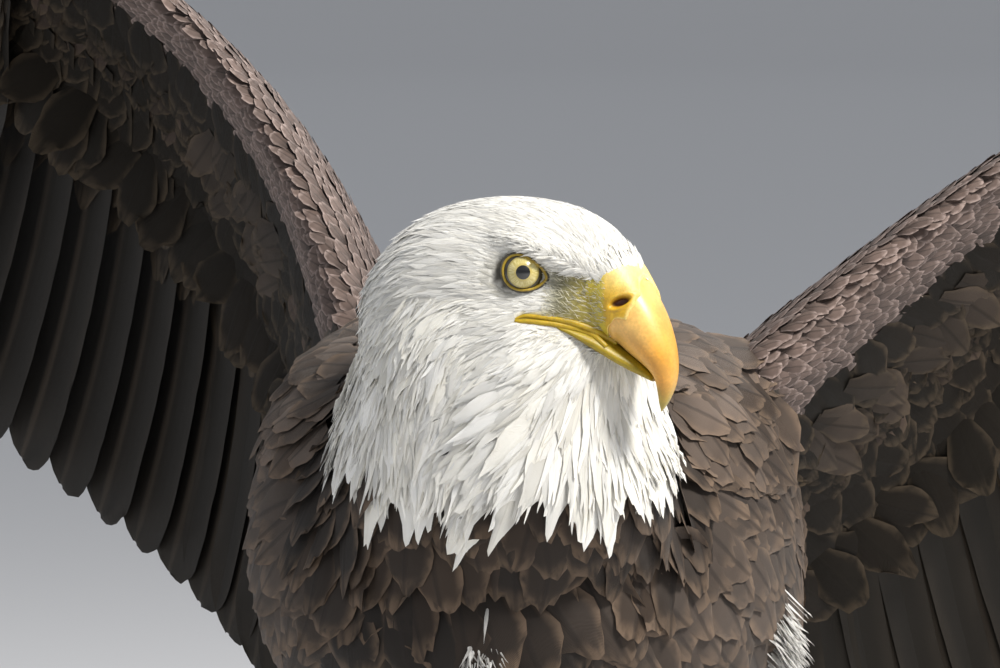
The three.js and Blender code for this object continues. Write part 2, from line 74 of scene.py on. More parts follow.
def head_way(direction):
    """A direction in the head frame as one in the eagle's frame."""
    return head_point(direction) - head_point(np.zeros(3))


def aim(thing, place, target):
    """Puts a lamp or camera at a place and turns its -Z towards a target, with Y up."""
    thing.location = Vector(place)
    thing.rotation_euler = (Vector(target) - Vector(place)).to_track_quat("-Z", "Y").to_euler()


CAMERA_AZIMUTH, CAMERA_HEIGHT, CAMERA_REACH = math.radians(18), math.radians(3), 2.6
AIM_LEFT, AIM_DOWN = 0.0091, 0.0249
camera_right = np.array([math.cos(CAMERA_AZIMUTH), math.sin(CAMERA_AZIMUTH), 0.0])
level = np.array([camera_right[1], -camera_right[0], 0.0])
camera_back = level * math.cos(CAMERA_HEIGHT) + UP * math.sin(CAMERA_HEIGHT)
right_eye = placed(head_point(EYE_AT["right"]))
camera = bpy.data.objects.new("camera", bpy.data.cameras.new("camera"))
camera.data.lens = 237
camera.data.sensor_width = 36
camera.data.clip_start = 0.1
bpy.context.collection.objects.link(camera)
aim(camera, right_eye + camera_back * CAMERA_REACH, right_eye - camera_right * AIM_LEFT - UP * AIM_DOWN)
bpy.context.scene.camera = camera


def lamp(name, place, target, size, power, colour):
    """A square soft box of a given side, in metres and watts."""
    light = bpy.data.lights.new(name, "AREA")
    light.shape = "SQUARE"
    light.size = size
    light.energy = power
    light.color = colour
    box = bpy.data.objects.new(name, light)
    bpy.context.collection.objects.link(box)
    aim(box, place, target)


breast = (0.03, -0.30, 0.46)
lamp("key_light", (2.2, -1.15, 3.0), breast, 0.7, 210, (1.0, 0.97, 0.92))
lamp("fill_light", (-2.4, -2.6, 1.2), breast, 2.0, 12, (0.92, 0.96, 1.0))
lamp("rim_light", (0.6, 2.2, 2.4), breast, 1.2, 42, (1.0, 0.98, 0.95))

world = bpy.data.worlds.new("studio")
bpy.context.scene.world = world
world.use_nodes = True
world.node_tree.nodes["Background"].inputs["Color"].default_value = (0.84, 0.87, 0.92, 1)
world.node_tree.nodes["Background"].inputs["Strength"].default_value = 0.5
bpy.context.scene.view_settings.view_transform = "Standard"


def add_mesh(name, points, faces):
    """A smooth mesh object at the origin, from points in metres and faces as rows of point numbers."""
    mesh = bpy.data.meshes.new(name)
    mesh.from_pydata(points.tolist(), [], faces)
    mesh.update()
    mesh.polygons.foreach_set("use_smooth", np.ones(len(mesh.polygons), bool))
    thing = bpy.data.objects.new(name, mesh)
    bpy.context.collection.objects.link(thing)
    return thing


def plain_material(name, colour, roughness, **others):
    """A material of one colour. Other inputs of its shader are named with _ for each space."""
    material = bpy.data.materials.new(name)
    material.use_nodes = True
    shader = material.node_tree.nodes["Principled BSDF"]
    for label, value in {"Base_Color": (*colour, 1), "Roughness": roughness, **others}.items():
        shader.inputs[label.replace("_", " ")].default_value = value
    return material, shader


# The floor is a wide shallow bowl: level under the bird, curving up far off into a low wall.
FLOOR_REACH, WALL_HIGH, STEPS = 28, 8, 72  # metres, metres, and points round the bowl
bend = np.linspace(0, math.pi / 2, 9)
out = np.concatenate([[2.0, 8.0, 16.0], FLOOR_REACH + WALL_HIGH * np.sin(bend)])
rise = np.concatenate([[0.0, 0.0, 0.0], WALL_HIGH - WALL_HIGH * np.cos(bend)])
turn = np.arange(STEPS) / STEPS * 2 * np.pi
bowl = np.stack([out[:, None] * np.cos(turn), out[:, None] * np.sin(turn), rise[:, None] + 0 * turn], -1)
strips = [
    [r * STEPS + k, (r + 1) * STEPS + k, (r + 1) * STEPS + (k + 1) % STEPS, r * STEPS + (k + 1) % STEPS]
    for r in range(len(out) - 1)
    for k in range(STEPS)
]
floor = add_mesh("floor", bowl.reshape(-1, 3), strips + [list(range(STEPS))])
floor.data.materials.append(plain_material("pale_floor", (0.62, 0.62, 0.63), 0.8)[0])

# ---------------------------------------------------------------- skin
# One skin over trunk, neck, head, thighs and wing arms, as on a mounted bird. The forms are
# lofts through tables of sections, inset by the depth of the plumage, fused and smoothed.
TRUNK = [  # y, z of the middle, half width, height above and depth below it, rump to crop
    [182, 268, 26, 24, 22],
    [146, 292, 60, 56, 48],
    [88, 326, 90, 90, 76],
    [28, 360, 108, 114, 92],
    [-28, 390, 114, 117, 98],
    [-74, 412, 102, 96, 96],
    [-106, 428, 78, 66, 78],
    [-124, 438, 46, 38, 48],
]
NECK = [  # x, y, z of the middle, half width across, half depth fore and aft, crop to skull
    [14, -88, 398, 60, 54],
    [17, -99, 414, 75, 66],
    [20, -107, 434, 75, 65],
    [23, -116, 464, 67, 60],
    [27, -123, 488, 62, 54],
    [31, -129, 508, 43, 37],
]
SKULL = [  # head frame: x, half width, top, bottom, forehead to nape
    [42, 8, -4, -28],
    [36, 12.5, 6, -32],
    [27, 17.5, 16.5, -34],
    [14, 24.5, 23.5, -38],
    [0, 30, 27, -43],
    [-20, 35.5, 28.5, -50],
    [-42, 37.5, 25, -54],
    [-62, 33, 14, -50],
    [-78, 19, -4, -36],
]
THIGH = [  # y, z of the middle, half width across, half depth fore and aft, hip to ankle
    [12, 318, 40, 52],
    [8, 274, 43, 56],
    [18, 226, 37, 47],
    [40, 178, 27, 33],
    [58, 136, 18, 22],
    [58, 106, 12.5, 14],
]
LEG_SPREAD = 62
WINGS = {
    "left": dict(side=1, root=(73, 7, 446), lift=33.5, sweep=31, bow=14, chord=(-0.084, 0.729, -0.679)),
    "right": dict(side=-1, root=(-80, 8, 468), lift=40, sweep=25, bow=35, chord=(-0.38, 0.74, -0.555)),
}
ARM_LONG, ARM_NOSE = 318, 22
ARM_SECTIONS = [[158, 88], [146, 62], [132, 41], [118, 32]]  # chord and thickness, shoulder to wrist
HAND_LONG, HAND_CHORD_TIP, HAND_THICK_TIP, HAND_BEND = 150, 46, 10, 0.42


def between(rows, share):
    """A Catmull-Rom spline through each column of a table, at a share from 0 to 1 of its rows."""
    rows = np.asarray(rows, float)
    at = np.clip(share, 0, 1) * (len(rows) - 1)
    i = np.minimum(at.astype(int), len(rows) - 2)
    t = (at - i)[..., None]
    a, b, c, d = (rows[np.clip(i + k, 0, len(rows) - 1)] for k in (-1, 0, 1, 2))
    return b + 0.5 * t * (c - a + t * (2 * a - 5 * b + 4 * c - d + t * (3 * (b - c) + d - a)))


def unit(v):
    """Vectors divided by their lengths."""
    v = np.asarray(v, float)
    return v / np.maximum(np.linalg.norm(v, axis=-1, keepdims=True), 1e-12)


def power(value, exponent):
    """The value's size to an exponent, with its sign kept: it squares an oval off."""
    return np.sign(value) * np.abs(value) ** exponent


def bell(value, centre, spread):
    """A bump of height 1: e to the minus square of the distance over the spread."""
    return np.exp(-(((value - centre) / spread) ** 2))


def ramp(value, low, high):
    """0 at low, 1 at high, and a smooth S between them."""
    t = np.clip((value - low) / (high - low), 0, 1)
    return t * t * (3 - 2 * t)


def trunk_form(share, angle, inset=0.0):
    """An egg: half ovals above and below a slanting line, the upper squared off at the shoulders."""
    row = between(TRUNK, share)
    d = between(TRUNK, np.minimum(share + 0.02, 1)) - between(TRUNK, np.maximum(share - 0.02, 0))
    upward = unit(np.stack([0 * d[..., 0], d[..., 1], -d[..., 0]], -1))
    c, s = np.cos(angle), np.sin(angle)
    square = np.where(c > 0, 0.68, 1.0)
    over = (np.where(c > 0, row[..., 3], row[..., 4]) - inset) * power(c, square)
    out = (row[..., 2] - inset) * power(s, square)
    return np.stack([out, row[..., 0], row[..., 1]], -1) + upward * over[..., None]


def neck_form(share, angle, inset=0.0):
    """Level ovals down the neck's leaning middle line."""
    row = between(NECK, share)
    inset = inset * (1.1 - 0.8 * share)
    x = row[..., 0] + (row[..., 3] - inset) * np.sin(angle)
    y = row[..., 1] + (row[..., 4] - inset) * np.cos(angle)
    return np.stack([x, y, row[..., 2]], -1)


def brow_edge(x):
    """Height of the brow's lower edge: it slants down from over the eye to the bill."""
    return np.interp(x, [-8, 2, 10, 16, 25, 31], [8.2, 7.2, 3.5, 0.4, -2.3, -3.6])


def skull_form(share, angle, inset=0.0):
    """Squared ovals along the bill's line, with a brow ridge over each eye and a hollow before it."""
    row = between(SKULL, share)
    x, wide, top, bottom = (row[..., k] for k in range(4))
    z = (top + bottom) / 2 + ((top - bottom) / 2 - inset) * np.cos(angle)
    z = z + 1.7 * ramp(np.cos(angle), 0.3, 0.9)
    out = power(np.sin(angle), 0.82)
    edge = brow_edge(x)
    ridge = np.interp(x, [-16, -4, 4, 14, 24, 32], [0, 3.6, 6.4, 6.2, 4.4, 1.0])
    ridge = ridge * ramp(z, edge - 1.0, edge + 2.0) * (1 - ramp(z, edge + 2.5, edge + 17))
    hollow = 3.6 * bell(x, 12, 12) * bell(z, -3.5, 8) + 1.6 * bell(x, -3, 10) * bell(z, -1, 9)
    y = (wide - inset) * out + np.sign(out) * (ridge - hollow)
    return head_point(np.stack([x, y, z], -1))


def thigh_form(side):
    """Level ovals down the feathered leg, from hip to ankle."""

    def form(share, angle, inset=0.0):
        row = between(THIGH, share)
        x = side * LEG_SPREAD + (row[..., 2] - inset) * np.sin(angle)
        y = row[..., 0] + (row[..., 3] - inset) * np.cos(angle)
        return np.stack([x, y, row[..., 1]], -1)

    return form


def wing_axes(wing):
    """Along the arm, the way its feathers trail, its upper side, and the same for the hand."""
    lift, sweep, side = math.radians(wing["lift"]), math.radians(wing["sweep"]), wing["side"]
    arm = np.array([side * math.cos(lift) * math.cos(sweep), math.cos(lift) * math.sin(sweep), math.sin(lift)])
    upper = unit(np.cross(arm, wing["chord"])) * side
    trail = unit(np.cross(upper, arm)) * side
    hand = unit(arm + HAND_BEND * trail)
    return dict(arm=arm, upper=upper, trail=trail, hand=hand, hand_trail=unit(np.cross(upper, hand)) * side)


def along_arm(wing, distance):
    """The arm's line: straight from the shoulder, bowed up by half a sine wave to the wrist."""
    axes = wing_axes(wing)
    distance = np.asarray(distance, float)[..., None]
    bow = wing["bow"] * np.sin(np.pi * distance / ARM_LONG)
    return np.array(wing["root"]) + axes["arm"] * distance + axes["upper"] * bow


def wing_section(front, trail, upper, chord, thick, angle, inset):
    """An aerofoil: blunt ahead, thin behind, its middle line arched by a tenth of the chord."""
    share = (1 - np.cos(angle)) / 2
    half = (thick / 2) * (1.48 * np.sqrt(share) - 0.63 * share - 0.85 * share**2) + 1.6
    half = np.maximum(half - inset, 1.2)
    arch = 0.1 * chord * np.sin(np.pi * share)
    back = chord * share - ARM_NOSE + inset * np.cos(angle)
    edge = np.clip(np.sin(angle) * 12, -1, 1)
    return front + trail * back[..., None] + upper * (arch + half * edge)[..., None]


def arm_form(wing):
    """Aerofoil sections from the shoulder to the wrist."""
    axes = wing_axes(wing)

    def form(share, angle, inset=0.0):
        row = between(ARM_SECTIONS, share)
        front = along_arm(wing, ARM_LONG * share)
        return wing_section(front, axes["trail"], axes["upper"], row[..., 0], row[..., 1], angle, inset)

    return form


def hand_form(wing):
    """Aerofoil sections from the wrist to the roots of the outer primaries."""
    axes = wing_axes(wing)
    chord_wrist, thick_wrist = ARM_SECTIONS[-1]

    def form(share, angle, inset=0.0):
        turn = np.minimum(share * 2, 1)[..., None]
        trail = unit(axes["trail"] * (1 - turn) + axes["hand_trail"] * turn)
        front = along_arm(wing, float(ARM_LONG)) + axes["hand"] * (HAND_LONG * (share - 0.08))[..., None]
        chord = chord_wrist + (HAND_CHORD_TIP - chord_wrist) * share**0.8
        thick = thick_wrist + (HAND_THICK_TIP - thick_wrist) * share
        return wing_section(front, trail, axes["upper"], chord, thick, angle, inset)

    return form


def loft_grid(rings, sides):
    """Share along a loft and angle round it, for each point of its rings."""
    return np.meshgrid(np.linspace(0, 1, rings), np.arange(sides) / sides * 2 * np.pi, indexing="ij")


def quads_between(rings, sides, joined=False):
    """Quads from ring to ring of a loft, and from the last on to the first when it is joined."""
    i, j = np.meshgrid(np.arange(rings if joined else rings - 1), np.arange(sides), indexing="ij")
    here, ahead, beside = i * sides, (i + 1) % rings * sides, (j + 1) % sides
    return np.stack([here + j, here + beside, ahead + beside, ahead + j], -1).reshape(-1, 4).tolist()


def loft_faces(rings, sides):
    """Faces of a loft: quads from ring to ring, then a fan round a middle point at each end."""
    ring, last = np.arange(sides), (rings - 1) * sides
    near = np.stack([np.full(sides, rings * sides), (ring + 1) % sides, ring], -1)
    far = np.stack([np.full(sides, rings * sides + 1), last + ring, last + (ring + 1) % sides], -1)
    return quads_between(rings, sides) + near.tolist() + far.tolist()


def closed_loft(form, rings, sides, inset):
    """Points and faces of a form's rings, closed at each end round the ring's middle."""
    grid = form(*loft_grid(rings, sides), inset)
    return np.concatenate([grid.reshape(-1, 3), [grid[0].mean(0), grid[-1].mean(0)]]), loft_faces(rings, sides)


def together(shapes):
    """The points and faces of several shapes as one shape, their faces renumbered."""
    points, faces = [], []
    for some, rows in shapes:
        start = sum(map(len, points))
        points.append(some)
        faces += [[v + start for v in row] for row in rows]
    return np.concatenate(points), faces


FORMS = {  # form, rings, points round a ring, and how far the skin lies under the plumage
    "trunk": (trunk_form, 60, 96, 7.0),
    "neck": (neck_form, 30, 72, 8.0),
    "head": (skull_form, 56, 84, 2.6),
}
for side_name, side in (("left", 1), ("right", -1)):
    FORMS[f"thigh_{side_name}"] = (thigh_form(side), 40, 48, 6.0)
    FORMS[f"arm_{side_name}"] = (arm_form(WINGS[side_name]), 40, 48, 4.0)
    FORMS[f"hand_{side_name}"] = (hand_form(WINGS[side_name]), 24, 36, 2.5)

points, faces = together([closed_loft(*spec) for spec in FORMS.values()])
rough = add_mesh("skin_rough", placed(points), faces)


def settled(thing, name):
    """The object with its modifiers applied, as a new object of that name."""
    ready = thing.evaluated_get(bpy.context.evaluated_depsgraph_get())
    mesh = bpy.data.meshes.new_from_object(ready)
    mesh.name = name
    made = bpy.data.objects.new(name, mesh)
    bpy.context.collection.objects.link(made)
    bpy.data.objects.remove(thing)
    return made


VOXEL = 2.8
fuse = rough.modifiers.new("fuse", "REMESH")
fuse.mode = "VOXEL"
fuse.voxel_size = VOXEL * MM
fuse.use_smooth_shade = True
soften = rough.modifiers.new("soften", "SMOOTH")
soften.factor = 0.5
soften.iterations = 5
skin = settled(rough, "skin")


def mesh_points(mesh):
    """The mesh's vertices as an array of rows."""
    flat = np.empty(len(mesh.vertices) * 3)
    mesh.vertices.foreach_get("co", flat)
    return flat.reshape(-1, 3)


def eased(points, edges, weight, rounds):
    """Each point moves by a share, its weight, towards the mean of its neighbours, round by round."""
    ends = np.concatenate([edges, edges[:, ::-1]])
    ends = ends[weight[ends[:, 0]] > 0]
    count = np.maximum(np.bincount(ends[:, 0], minlength=len(points)), 1)[:, None]
    share = (weight * (np.bincount(ends[:, 0], minlength=len(points)) > 0))[:, None]
    for _ in range(rounds):
        total = np.stack([np.bincount(ends[:, 0], points[ends[:, 1], k], len(points)) for k in range(3)], -1)
        points = points + share * (total / count - points)
    return points


# The creases where the neck meets the skull and the trunk are filled and eased.
EASING, EASING_ROUNDS, NECK_MIDDLE = 0.7, 120, [25, -118, 465]
flat_points = mesh_points(skin.data)
joined_by = np.empty(len(skin.data.edges) * 2, np.int32)
skin.data.edges.foreach_get("vertices", joined_by)
place = flat_points / MM + MODEL_CENTRE
ahead = (place - HEAD_AT) @ head_way([1.0, 0, 0])
near_neck = 1 - ramp(np.linalg.norm(place - NECK_MIDDLE, axis=1), 70, 95)
weight = EASING * near_neck * ramp(place[:, 2], 405, 440) * (1 - ramp(place[:, 2], 494, 506))
weight *= 1 - ramp(ahead, -12, 2)
flat_points = eased(flat_points, joined_by.reshape(-1, 2), weight, EASING_ROUNDS)
skin.data.vertices.foreach_set("co", flat_points.ravel())
skin.data.update()
skin_tree = BVHTree.FromPolygons(
    mesh_points(skin.data).tolist(), [list(face.vertices) for face in skin.data.polygons]
)


# ---------------------------------------------------------------- how feathers are made
# A feather is a thin closed blade of vane: two skins of four-sided faces that share their rim.
# Rows of them lie over the skin like tiles, each rooted on it and rising a little to its tip.
def blade_faces(rows, cols):
    """Faces of one blade: a top grid, a bottom grid that shares its rim, numbered after the top's."""
    top = np.arange(rows * cols).reshape(rows, cols)
    bottom = top.copy()
    bottom[1:-1, 1:-1] = rows * cols + np.arange((rows - 2) * (cols - 2)).reshape(rows - 2, cols - 2)

    def quads(grid):
        return np.stack([grid[:-1, :-1], grid[:-1, 1:], grid[1:, 1:], grid[1:, :-1]], -1).reshape(-1, 4)

    return np.concatenate([quads(top), quads(bottom)[:, ::-1]])


def two_skins(base, up, lift, depth, s, t):
    """Blades' upper points at lift plus depth over a base and their lower ones at lift less depth.
    The two share their rim. Returns points as (blade, point, 3), with u and v on each."""
    top = base + up * (lift + depth)[..., None]
    below = (base + up * (lift - depth)[..., None])[:, 1:-1, 1:-1]
    uv = np.stack([(s + 1) / 2, t], -1)
    points = np.concatenate([top.reshape(len(base), -1, 3), below.reshape(len(base), -1, 3)], 1)
    return points, np.concatenate([uv.reshape(-1, 2), uv[1:-1, 1:-1].reshape(-1, 2)])


def skin_below(points):
    """Nearest places on the skin to points in millimetres, and the skin's outward directions there."""
    found = [skin_tree.find_nearest(p)[:2] for p in placed(points).tolist()]
    place = np.array([f[0] for f in found]) / MM + MODEL_CENTRE
    return place, unit(np.array([f[1] for f in found]))


# Outline: width at root and tip as shares of the widest, where it is widest, how far the
# tip's sides are drawn back, and how ragged the tip is, both as shares of the length.
ROUND = dict(root=0.45, tip=0.62, widest=0.55, drawn=0.16, ragged=0.045)
POINTED = dict(root=0.5, tip=0.1, widest=0.35, drawn=0.02, ragged=0.05)
LOCK = dict(root=0.5, tip=0.36, widest=0.52, drawn=0.12, ragged=0.06)
HACKLE = dict(root=0.5, tip=0.2, widest=0.45, drawn=0.06, ragged=0.05)
BROAD = dict(root=0.6, tip=0.5, widest=0.6, drawn=0.1, ragged=0.01)
PATCH = 0.003  # side of a blade's patch on OFBake
OFF_EDGE, EDGE_DROP = 16, 3.0  # a tip this far from the skin hangs free, and drops by this
LEAST_DROP, MOST_DROP, TIP_SHARE = -6, 22, 0.92  # of the others, measured at this share of the length
SHARP = math.radians(70)  # a blade's rim is shaded as an edge
ROOT_REACH = 9.0  # a root farther from the skin than this isn't shown


def blades(root, along, up, length, width, grid, outline, rise, thick, cup=0.1, drop=0.0):
    """Points of many blades at once, in millimetres, with u and v on each.

    Across a blade s runs -1 to 1 and along it t runs 0 to 1. A point is
    root + along * length * (t - drawn * s^2 * t^3) + side * half width(t) * s
    + up * (rise from its root to its tip - drop * t^2 - cup * half width * s^2).
    """
    rows, cols = grid
    count = len(root)
    up = unit(up - along * np.sum(up * along, -1, keepdims=True))
    side = np.cross(along, up)
    s, t = np.meshgrid(np.linspace(-1, 1, cols), np.linspace(0, 1, rows))
    swell = outline["root"] + (1 - outline["root"]) * ramp(t, 0, outline["widest"])
    taper = 1 - (1 - outline["tip"]) * ramp(t, outline["widest"], 1.02)
    column = (slice(None), None, None)
    half = np.asarray(width)[column] / 2 * swell * taper
    reach = t - outline["drawn"] * s**2 * t**3
    reach = reach + outline["ragged"] * rng.normal(size=(count, rows, cols)) * ramp(t, 0.7, 1)
    x = np.asarray(length)[column] * reach
    bend = rng.normal(0, 0.05, (count, 1, 1)) * np.asarray(length)[column] * t**2
    low, high = (np.broadcast_to(r, count)[column] for r in rise)
    z = low + (high - low) * t - np.broadcast_to(drop, count)[column] * t**2 - cup * half * s**2
    depth = thick * (1 - s**2) * np.sin(np.pi * np.clip(t, 0, 1))
    root, along, side, up = (a[:, None, None] for a in (root, along, side, up))
    base = root + along * x[..., None] + side * (half * s + bend)[..., None]
    return two_skins(base, up, z, depth, s, t)


def laid(root, along, length):
    """How far the skin falls away below each blade's tip: the blade's drop, in millimetres."""
    tip = root + along * (np.asarray(length) * TIP_SHARE)[:, None]
    under, _ = skin_below(tip)
    _, normal = skin_below(root)
    fall = np.sum((tip - under) * normal, -1)
    off_edge = np.linalg.norm(tip - under, axis=-1) > OFF_EDGE
    return np.where(off_edge, EDGE_DROP, np.clip(fall, LEAST_DROP, MOST_DROP))


def store(mesh, name, values):
    """Keeps numbers, or colours from 0 to 1 without their alpha, for each point of a mesh."""
    values = np.asarray(values, np.float32)
    kind, key = ("FLOAT", "value") if values.ndim == 1 else ("FLOAT_COLOR", "color")
    if key == "color":
        values = np.concatenate([values, np.ones((len(values), 1), np.float32)], 1)
    made = mesh.attributes.get(name) or mesh.attributes.new(name, kind, "POINT")
    made.data.foreach_set(key, values.ravel())


def coat_piece(name, parts, material):
    """One mesh of many blades. Each part holds points, uv, grid, a tint for each blade and its
    place on the skin's unwrap, where OFBake gives the whole blade a small patch."""
    corners, vane, bake, tints, tones, coords = [], [], [], [], [], []
    start = 0
    for points, uv, grid, tint, unwrap in parts:
        count, size = points.shape[:2]
        faces = blade_faces(*grid)
        numbers = faces[None] + (start + np.arange(count) * size)[:, None, None]
        corners.append(numbers.reshape(-1, 4))
        vane.append(np.broadcast_to(uv[faces][None], (count, *faces.shape, 2)).reshape(-1, 2))
        bake.append((unwrap[:, None, None, :] + (uv[faces][None] - 0.5) * PATCH).reshape(-1, 2))
        tints.append(np.repeat(tint, size, 0))
        tones.append(np.repeat(rng.random(count), size))
        coords.append(placed(points).reshape(-1, 3))
        start += count * size
    corners, coords = np.concatenate(corners), np.concatenate(coords)
    mesh = bpy.data.meshes.new(name)
    mesh.vertices.add(len(coords))
    mesh.vertices.foreach_set("co", coords.astype(np.float32).ravel())
    mesh.loops.add(corners.size)
    mesh.loops.foreach_set("vertex_index", corners.astype(np.int32).ravel())
    mesh.polygons.add(len(corners))
    mesh.polygons.foreach_set("loop_start", np.arange(0, corners.size, 4, dtype=np.int32))
    mesh.update(calc_edges=True)
    mesh.polygons.foreach_set("use_smooth", np.ones(len(corners), bool))
    mesh.set_sharp_from_angle(angle=SHARP)
    for layer, values in (("OFBake", bake), ("vane", vane)):
        mesh.uv_layers.new(name=layer)
        mesh.uv_layers[layer].data.foreach_set("uv", np.concatenate(values).astype(np.float32).ravel())
    store(mesh, "tint", np.concatenate(tints))
    store(mesh, "tone", np.concatenate(tones))
    mesh.materials.append(material)
    thing = bpy.data.objects.new(name, mesh)
    bpy.context.collection.objects.link(thing)
    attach(thing, "root")
    return thing


def tiles(form, row_gap, gap, shares=(0, 1), angles=(0, 2 * math.pi), by_share=True, loose=0.2):
    """Roots laid like roof tiles on a form: rows a gap apart along it, each shifted half a place.

    Distances are measured on the form itself. Rows follow a ring, or with by_share off they run
    the length of the form. Returns share and angle for each root.
    """
    fine_s, fine_a = np.linspace(*shares, 80), np.linspace(*angles, 160)
    grid = form(*np.meshgrid(fine_s, fine_a, indexing="ij"))
    if not by_share:
        grid, fine_s, fine_a = grid.swapaxes(0, 1), fine_a, fine_s
    step = np.linalg.norm(np.diff(grid, axis=0), axis=-1).mean(1)
    run = np.concatenate([[0], np.cumsum(step)])
    found = []
    for number, distance in enumerate(np.arange(row_gap / 2, run[-1], row_gap)):
        at = np.interp(distance, run, fine_s)
        line = grid[np.searchsorted(fine_s, at).clip(0, len(fine_s) - 1)]
        length = np.concatenate([[0], np.cumsum(np.linalg.norm(np.diff(line, axis=0), axis=-1))])
        count = max(3, round(length[-1] / gap))
        places = (np.arange(count) + 0.5 * (number % 2) + loose * rng.uniform(-1, 1, count)) / count
        where = np.interp(places % 1 * length[-1], length, fine_a)
        slip = np.interp(distance + loose * row_gap * rng.uniform(-1, 1, count), run, fine_s)
        found.append(np.stack([slip, where]))
    a, b = np.concatenate(found, 1)
    return (a, b) if by_share else (b, a)


def lie(form, share, angle, ahead, around=0.0):
    """Direction along a form: its slope by share times ahead, plus its slope by angle times around."""
    d = 1e-3
    by_share = unit(form(np.minimum(share + d, 1), angle) - form(np.maximum(share - d, 0), angle))
    by_angle = unit(form(share, angle + d) - form(share, angle - d))
    ahead, around = (np.broadcast_to(v, share.shape)[..., None] for v in (ahead, around))
    return unit(by_share * ahead + by_angle * around)


def rooted(form, share, angle, flow, inset):
    """Roots settled on the skin, with the flow turned into its surface. Keeps those the skin shows."""
    loose = form(share, angle, inset)
    place, normal = skin_below(loose)
    shown = np.linalg.norm(loose - place, axis=-1) < ROOT_REACH
    flow = unit(flow - normal * np.sum(flow * normal, -1, keepdims=True))
    return shown, place, normal, flow


def round_unwrap(angle, high):
    """A place on the skin's unwrap: the angle round its form across, and a given height."""
    return np.stack([0.01 + 0.98 * (angle / (2 * np.pi) % 1), high], -1)


def turned(direction, normal, degrees):
    """Directions turned about the normals."""
    angle = np.radians(degrees)[:, None]
    return unit(direction * np.cos(angle) + np.cross(normal, direction) * np.sin(angle))


def linear(hex_colour):
    """A colour written as on a screen, as linear red, green and blue."""
    value = np.array([int(hex_colour[i : i + 2], 16) for i in (0, 2, 4)]) / 255
    return np.where(value < 0.04045, value / 12.92, ((value + 0.055) / 1.055) ** 2.4)


def wire(tree, kind, values=(), **settings):
    """A new node with its settings. Each value is set on its input, or joined to it if a socket."""
    made = tree.nodes.new(kind)
    for key, value in settings.items():
        setattr(made, key, value)
    for slot, value in dict(values).items():
        if isinstance(value, bpy.types.NodeSocket):
            tree.links.new(value, made.inputs[slot])
        else:
            made.inputs[slot].default_value = value
    return made


def sums(tree, operation, *values):
    """The result of a Math node on sockets and numbers."""
    return wire(tree, "ShaderNodeMath", enumerate(values), operation=operation).outputs[0]


def plus(tree, *values):
    """The sum of sockets and numbers."""
    return sums(tree, "ADD", *values)


def minus(tree, *values):
    """The first of two sockets or numbers less the second."""
    return sums(tree, "SUBTRACT", *values)


def times(tree, *values):
    """The product of two sockets or numbers."""
    return sums(tree, "MULTIPLY", *values)


def smooth(tree, value, low, high):
    """0 at low, 1 at high, smooth between, as a socket."""
    node = wire(
        tree, "ShaderNodeMapRange", {"Value": value, "From Min": low, "From Max": high}, interpolation_type="SMOOTHSTEP"
    )
    return node.outputs[0]


def blend(tree, share, first, second, kind="MIX"):
    """Two colours mixed by a share."""
    node = wire(tree, "ShaderNodeMix", {0: share, 6: first, 7: second}, data_type="RGBA", blend_type=kind)
    return node.outputs[2]


def noise(tree, place, scale, detail):
    """Soft noise at places, as a socket."""
    return wire(tree, "ShaderNodeTexNoise", {"Vector": place, "Scale": scale, "Detail": detail}).outputs[0]


def relief(tree, shader, height, strength, distance):
    """Joins a height to the shader's normal as fine bumps."""
    raised = wire(tree, "ShaderNodeBump", {"Strength": strength, "Distance": distance, "Height": height})
    tree.links.new(raised.outputs[0], shader.inputs["Normal"])


def kept(tree, name):
    """An attribute of the mesh, as a colour and as a number."""
    node = wire(tree, "ShaderNodeAttribute", attribute_name=name)
    return node.outputs["Color"], node.outputs["Fac"]


def dimmed(tree, colour, share):
    """A colour times a share."""
    spread = wire(tree, "ShaderNodeCombineXYZ", {0: share, 1: share, 2: share}).outputs[0]
    return blend(tree, 1.0, colour, spread, "MULTIPLY")


# The vane pattern, shared by all feathers. It gives a colour and a height for each place.
t = vane_look = bpy.data.node_groups.new("vane_look", "ShaderNodeTree")
for label, kind, value in (
    ("Place", "Vector", None),
    ("Tint", "Color", (0.5, 0.5, 0.5, 1)),
    ("Tone", "Float", 0.5),
    ("Rim", "Color", (0.6, 0.5, 0.4, 1)),
    ("Rim Amount", "Float", 0.5),
    ("Shaft", "Color", (0.3, 0.25, 0.2, 1)),
    ("Shaft Amount", "Float", 0.4),
    ("Barbs", "Float", 26.0),
    ("Barb Depth", "Float", 0.18),
    ("Root Shade", "Float", 0.5),
):
    socket = t.interface.new_socket(label, in_out="INPUT", socket_type="NodeSocket" + kind)
    if value is not None:
        socket.default_value = value
for label, kind in (("Color", "Color"), ("Height", "Float")):
    t.interface.new_socket(label, in_out="OUTPUT", socket_type="NodeSocket" + kind)
given, result = t.nodes.new("NodeGroupInput").outputs, t.nodes.new("NodeGroupOutput").inputs
split = wire(t, "ShaderNodeSeparateXYZ", {0: given["Place"]}).outputs
off_shaft = times(t, sums(t, "ABSOLUTE", minus(t, split[0], 0.5)), 2.0)
drift = wire(t, "ShaderNodeCombineXYZ", {0: split[0], 1: split[1], 2: times(t, given["Tone"], 37.0)})
patchy = noise(t, drift.outputs[0], 5.0, 2.0)
phase = plus(t, split[1], times(t, off_shaft, -0.28))
phase = plus(t, times(t, phase, given["Barbs"]), times(t, patchy, 3.0))
wave = sums(t, "SINE", times(t, phase, 6.283))
barbs = plus(t, times(t, wave, 0.5), 0.5)
shaft = minus(t, 1.0, smooth(t, off_shaft, 0.03, 0.16))
rim = sums(t, "MAXIMUM", smooth(t, off_shaft, 0.62, 1.0), smooth(t, split[1], 0.74, 1.0))
rim = times(t, times(t, rim, given["Rim Amount"]), smooth(t, patchy, 0.22, 0.6))
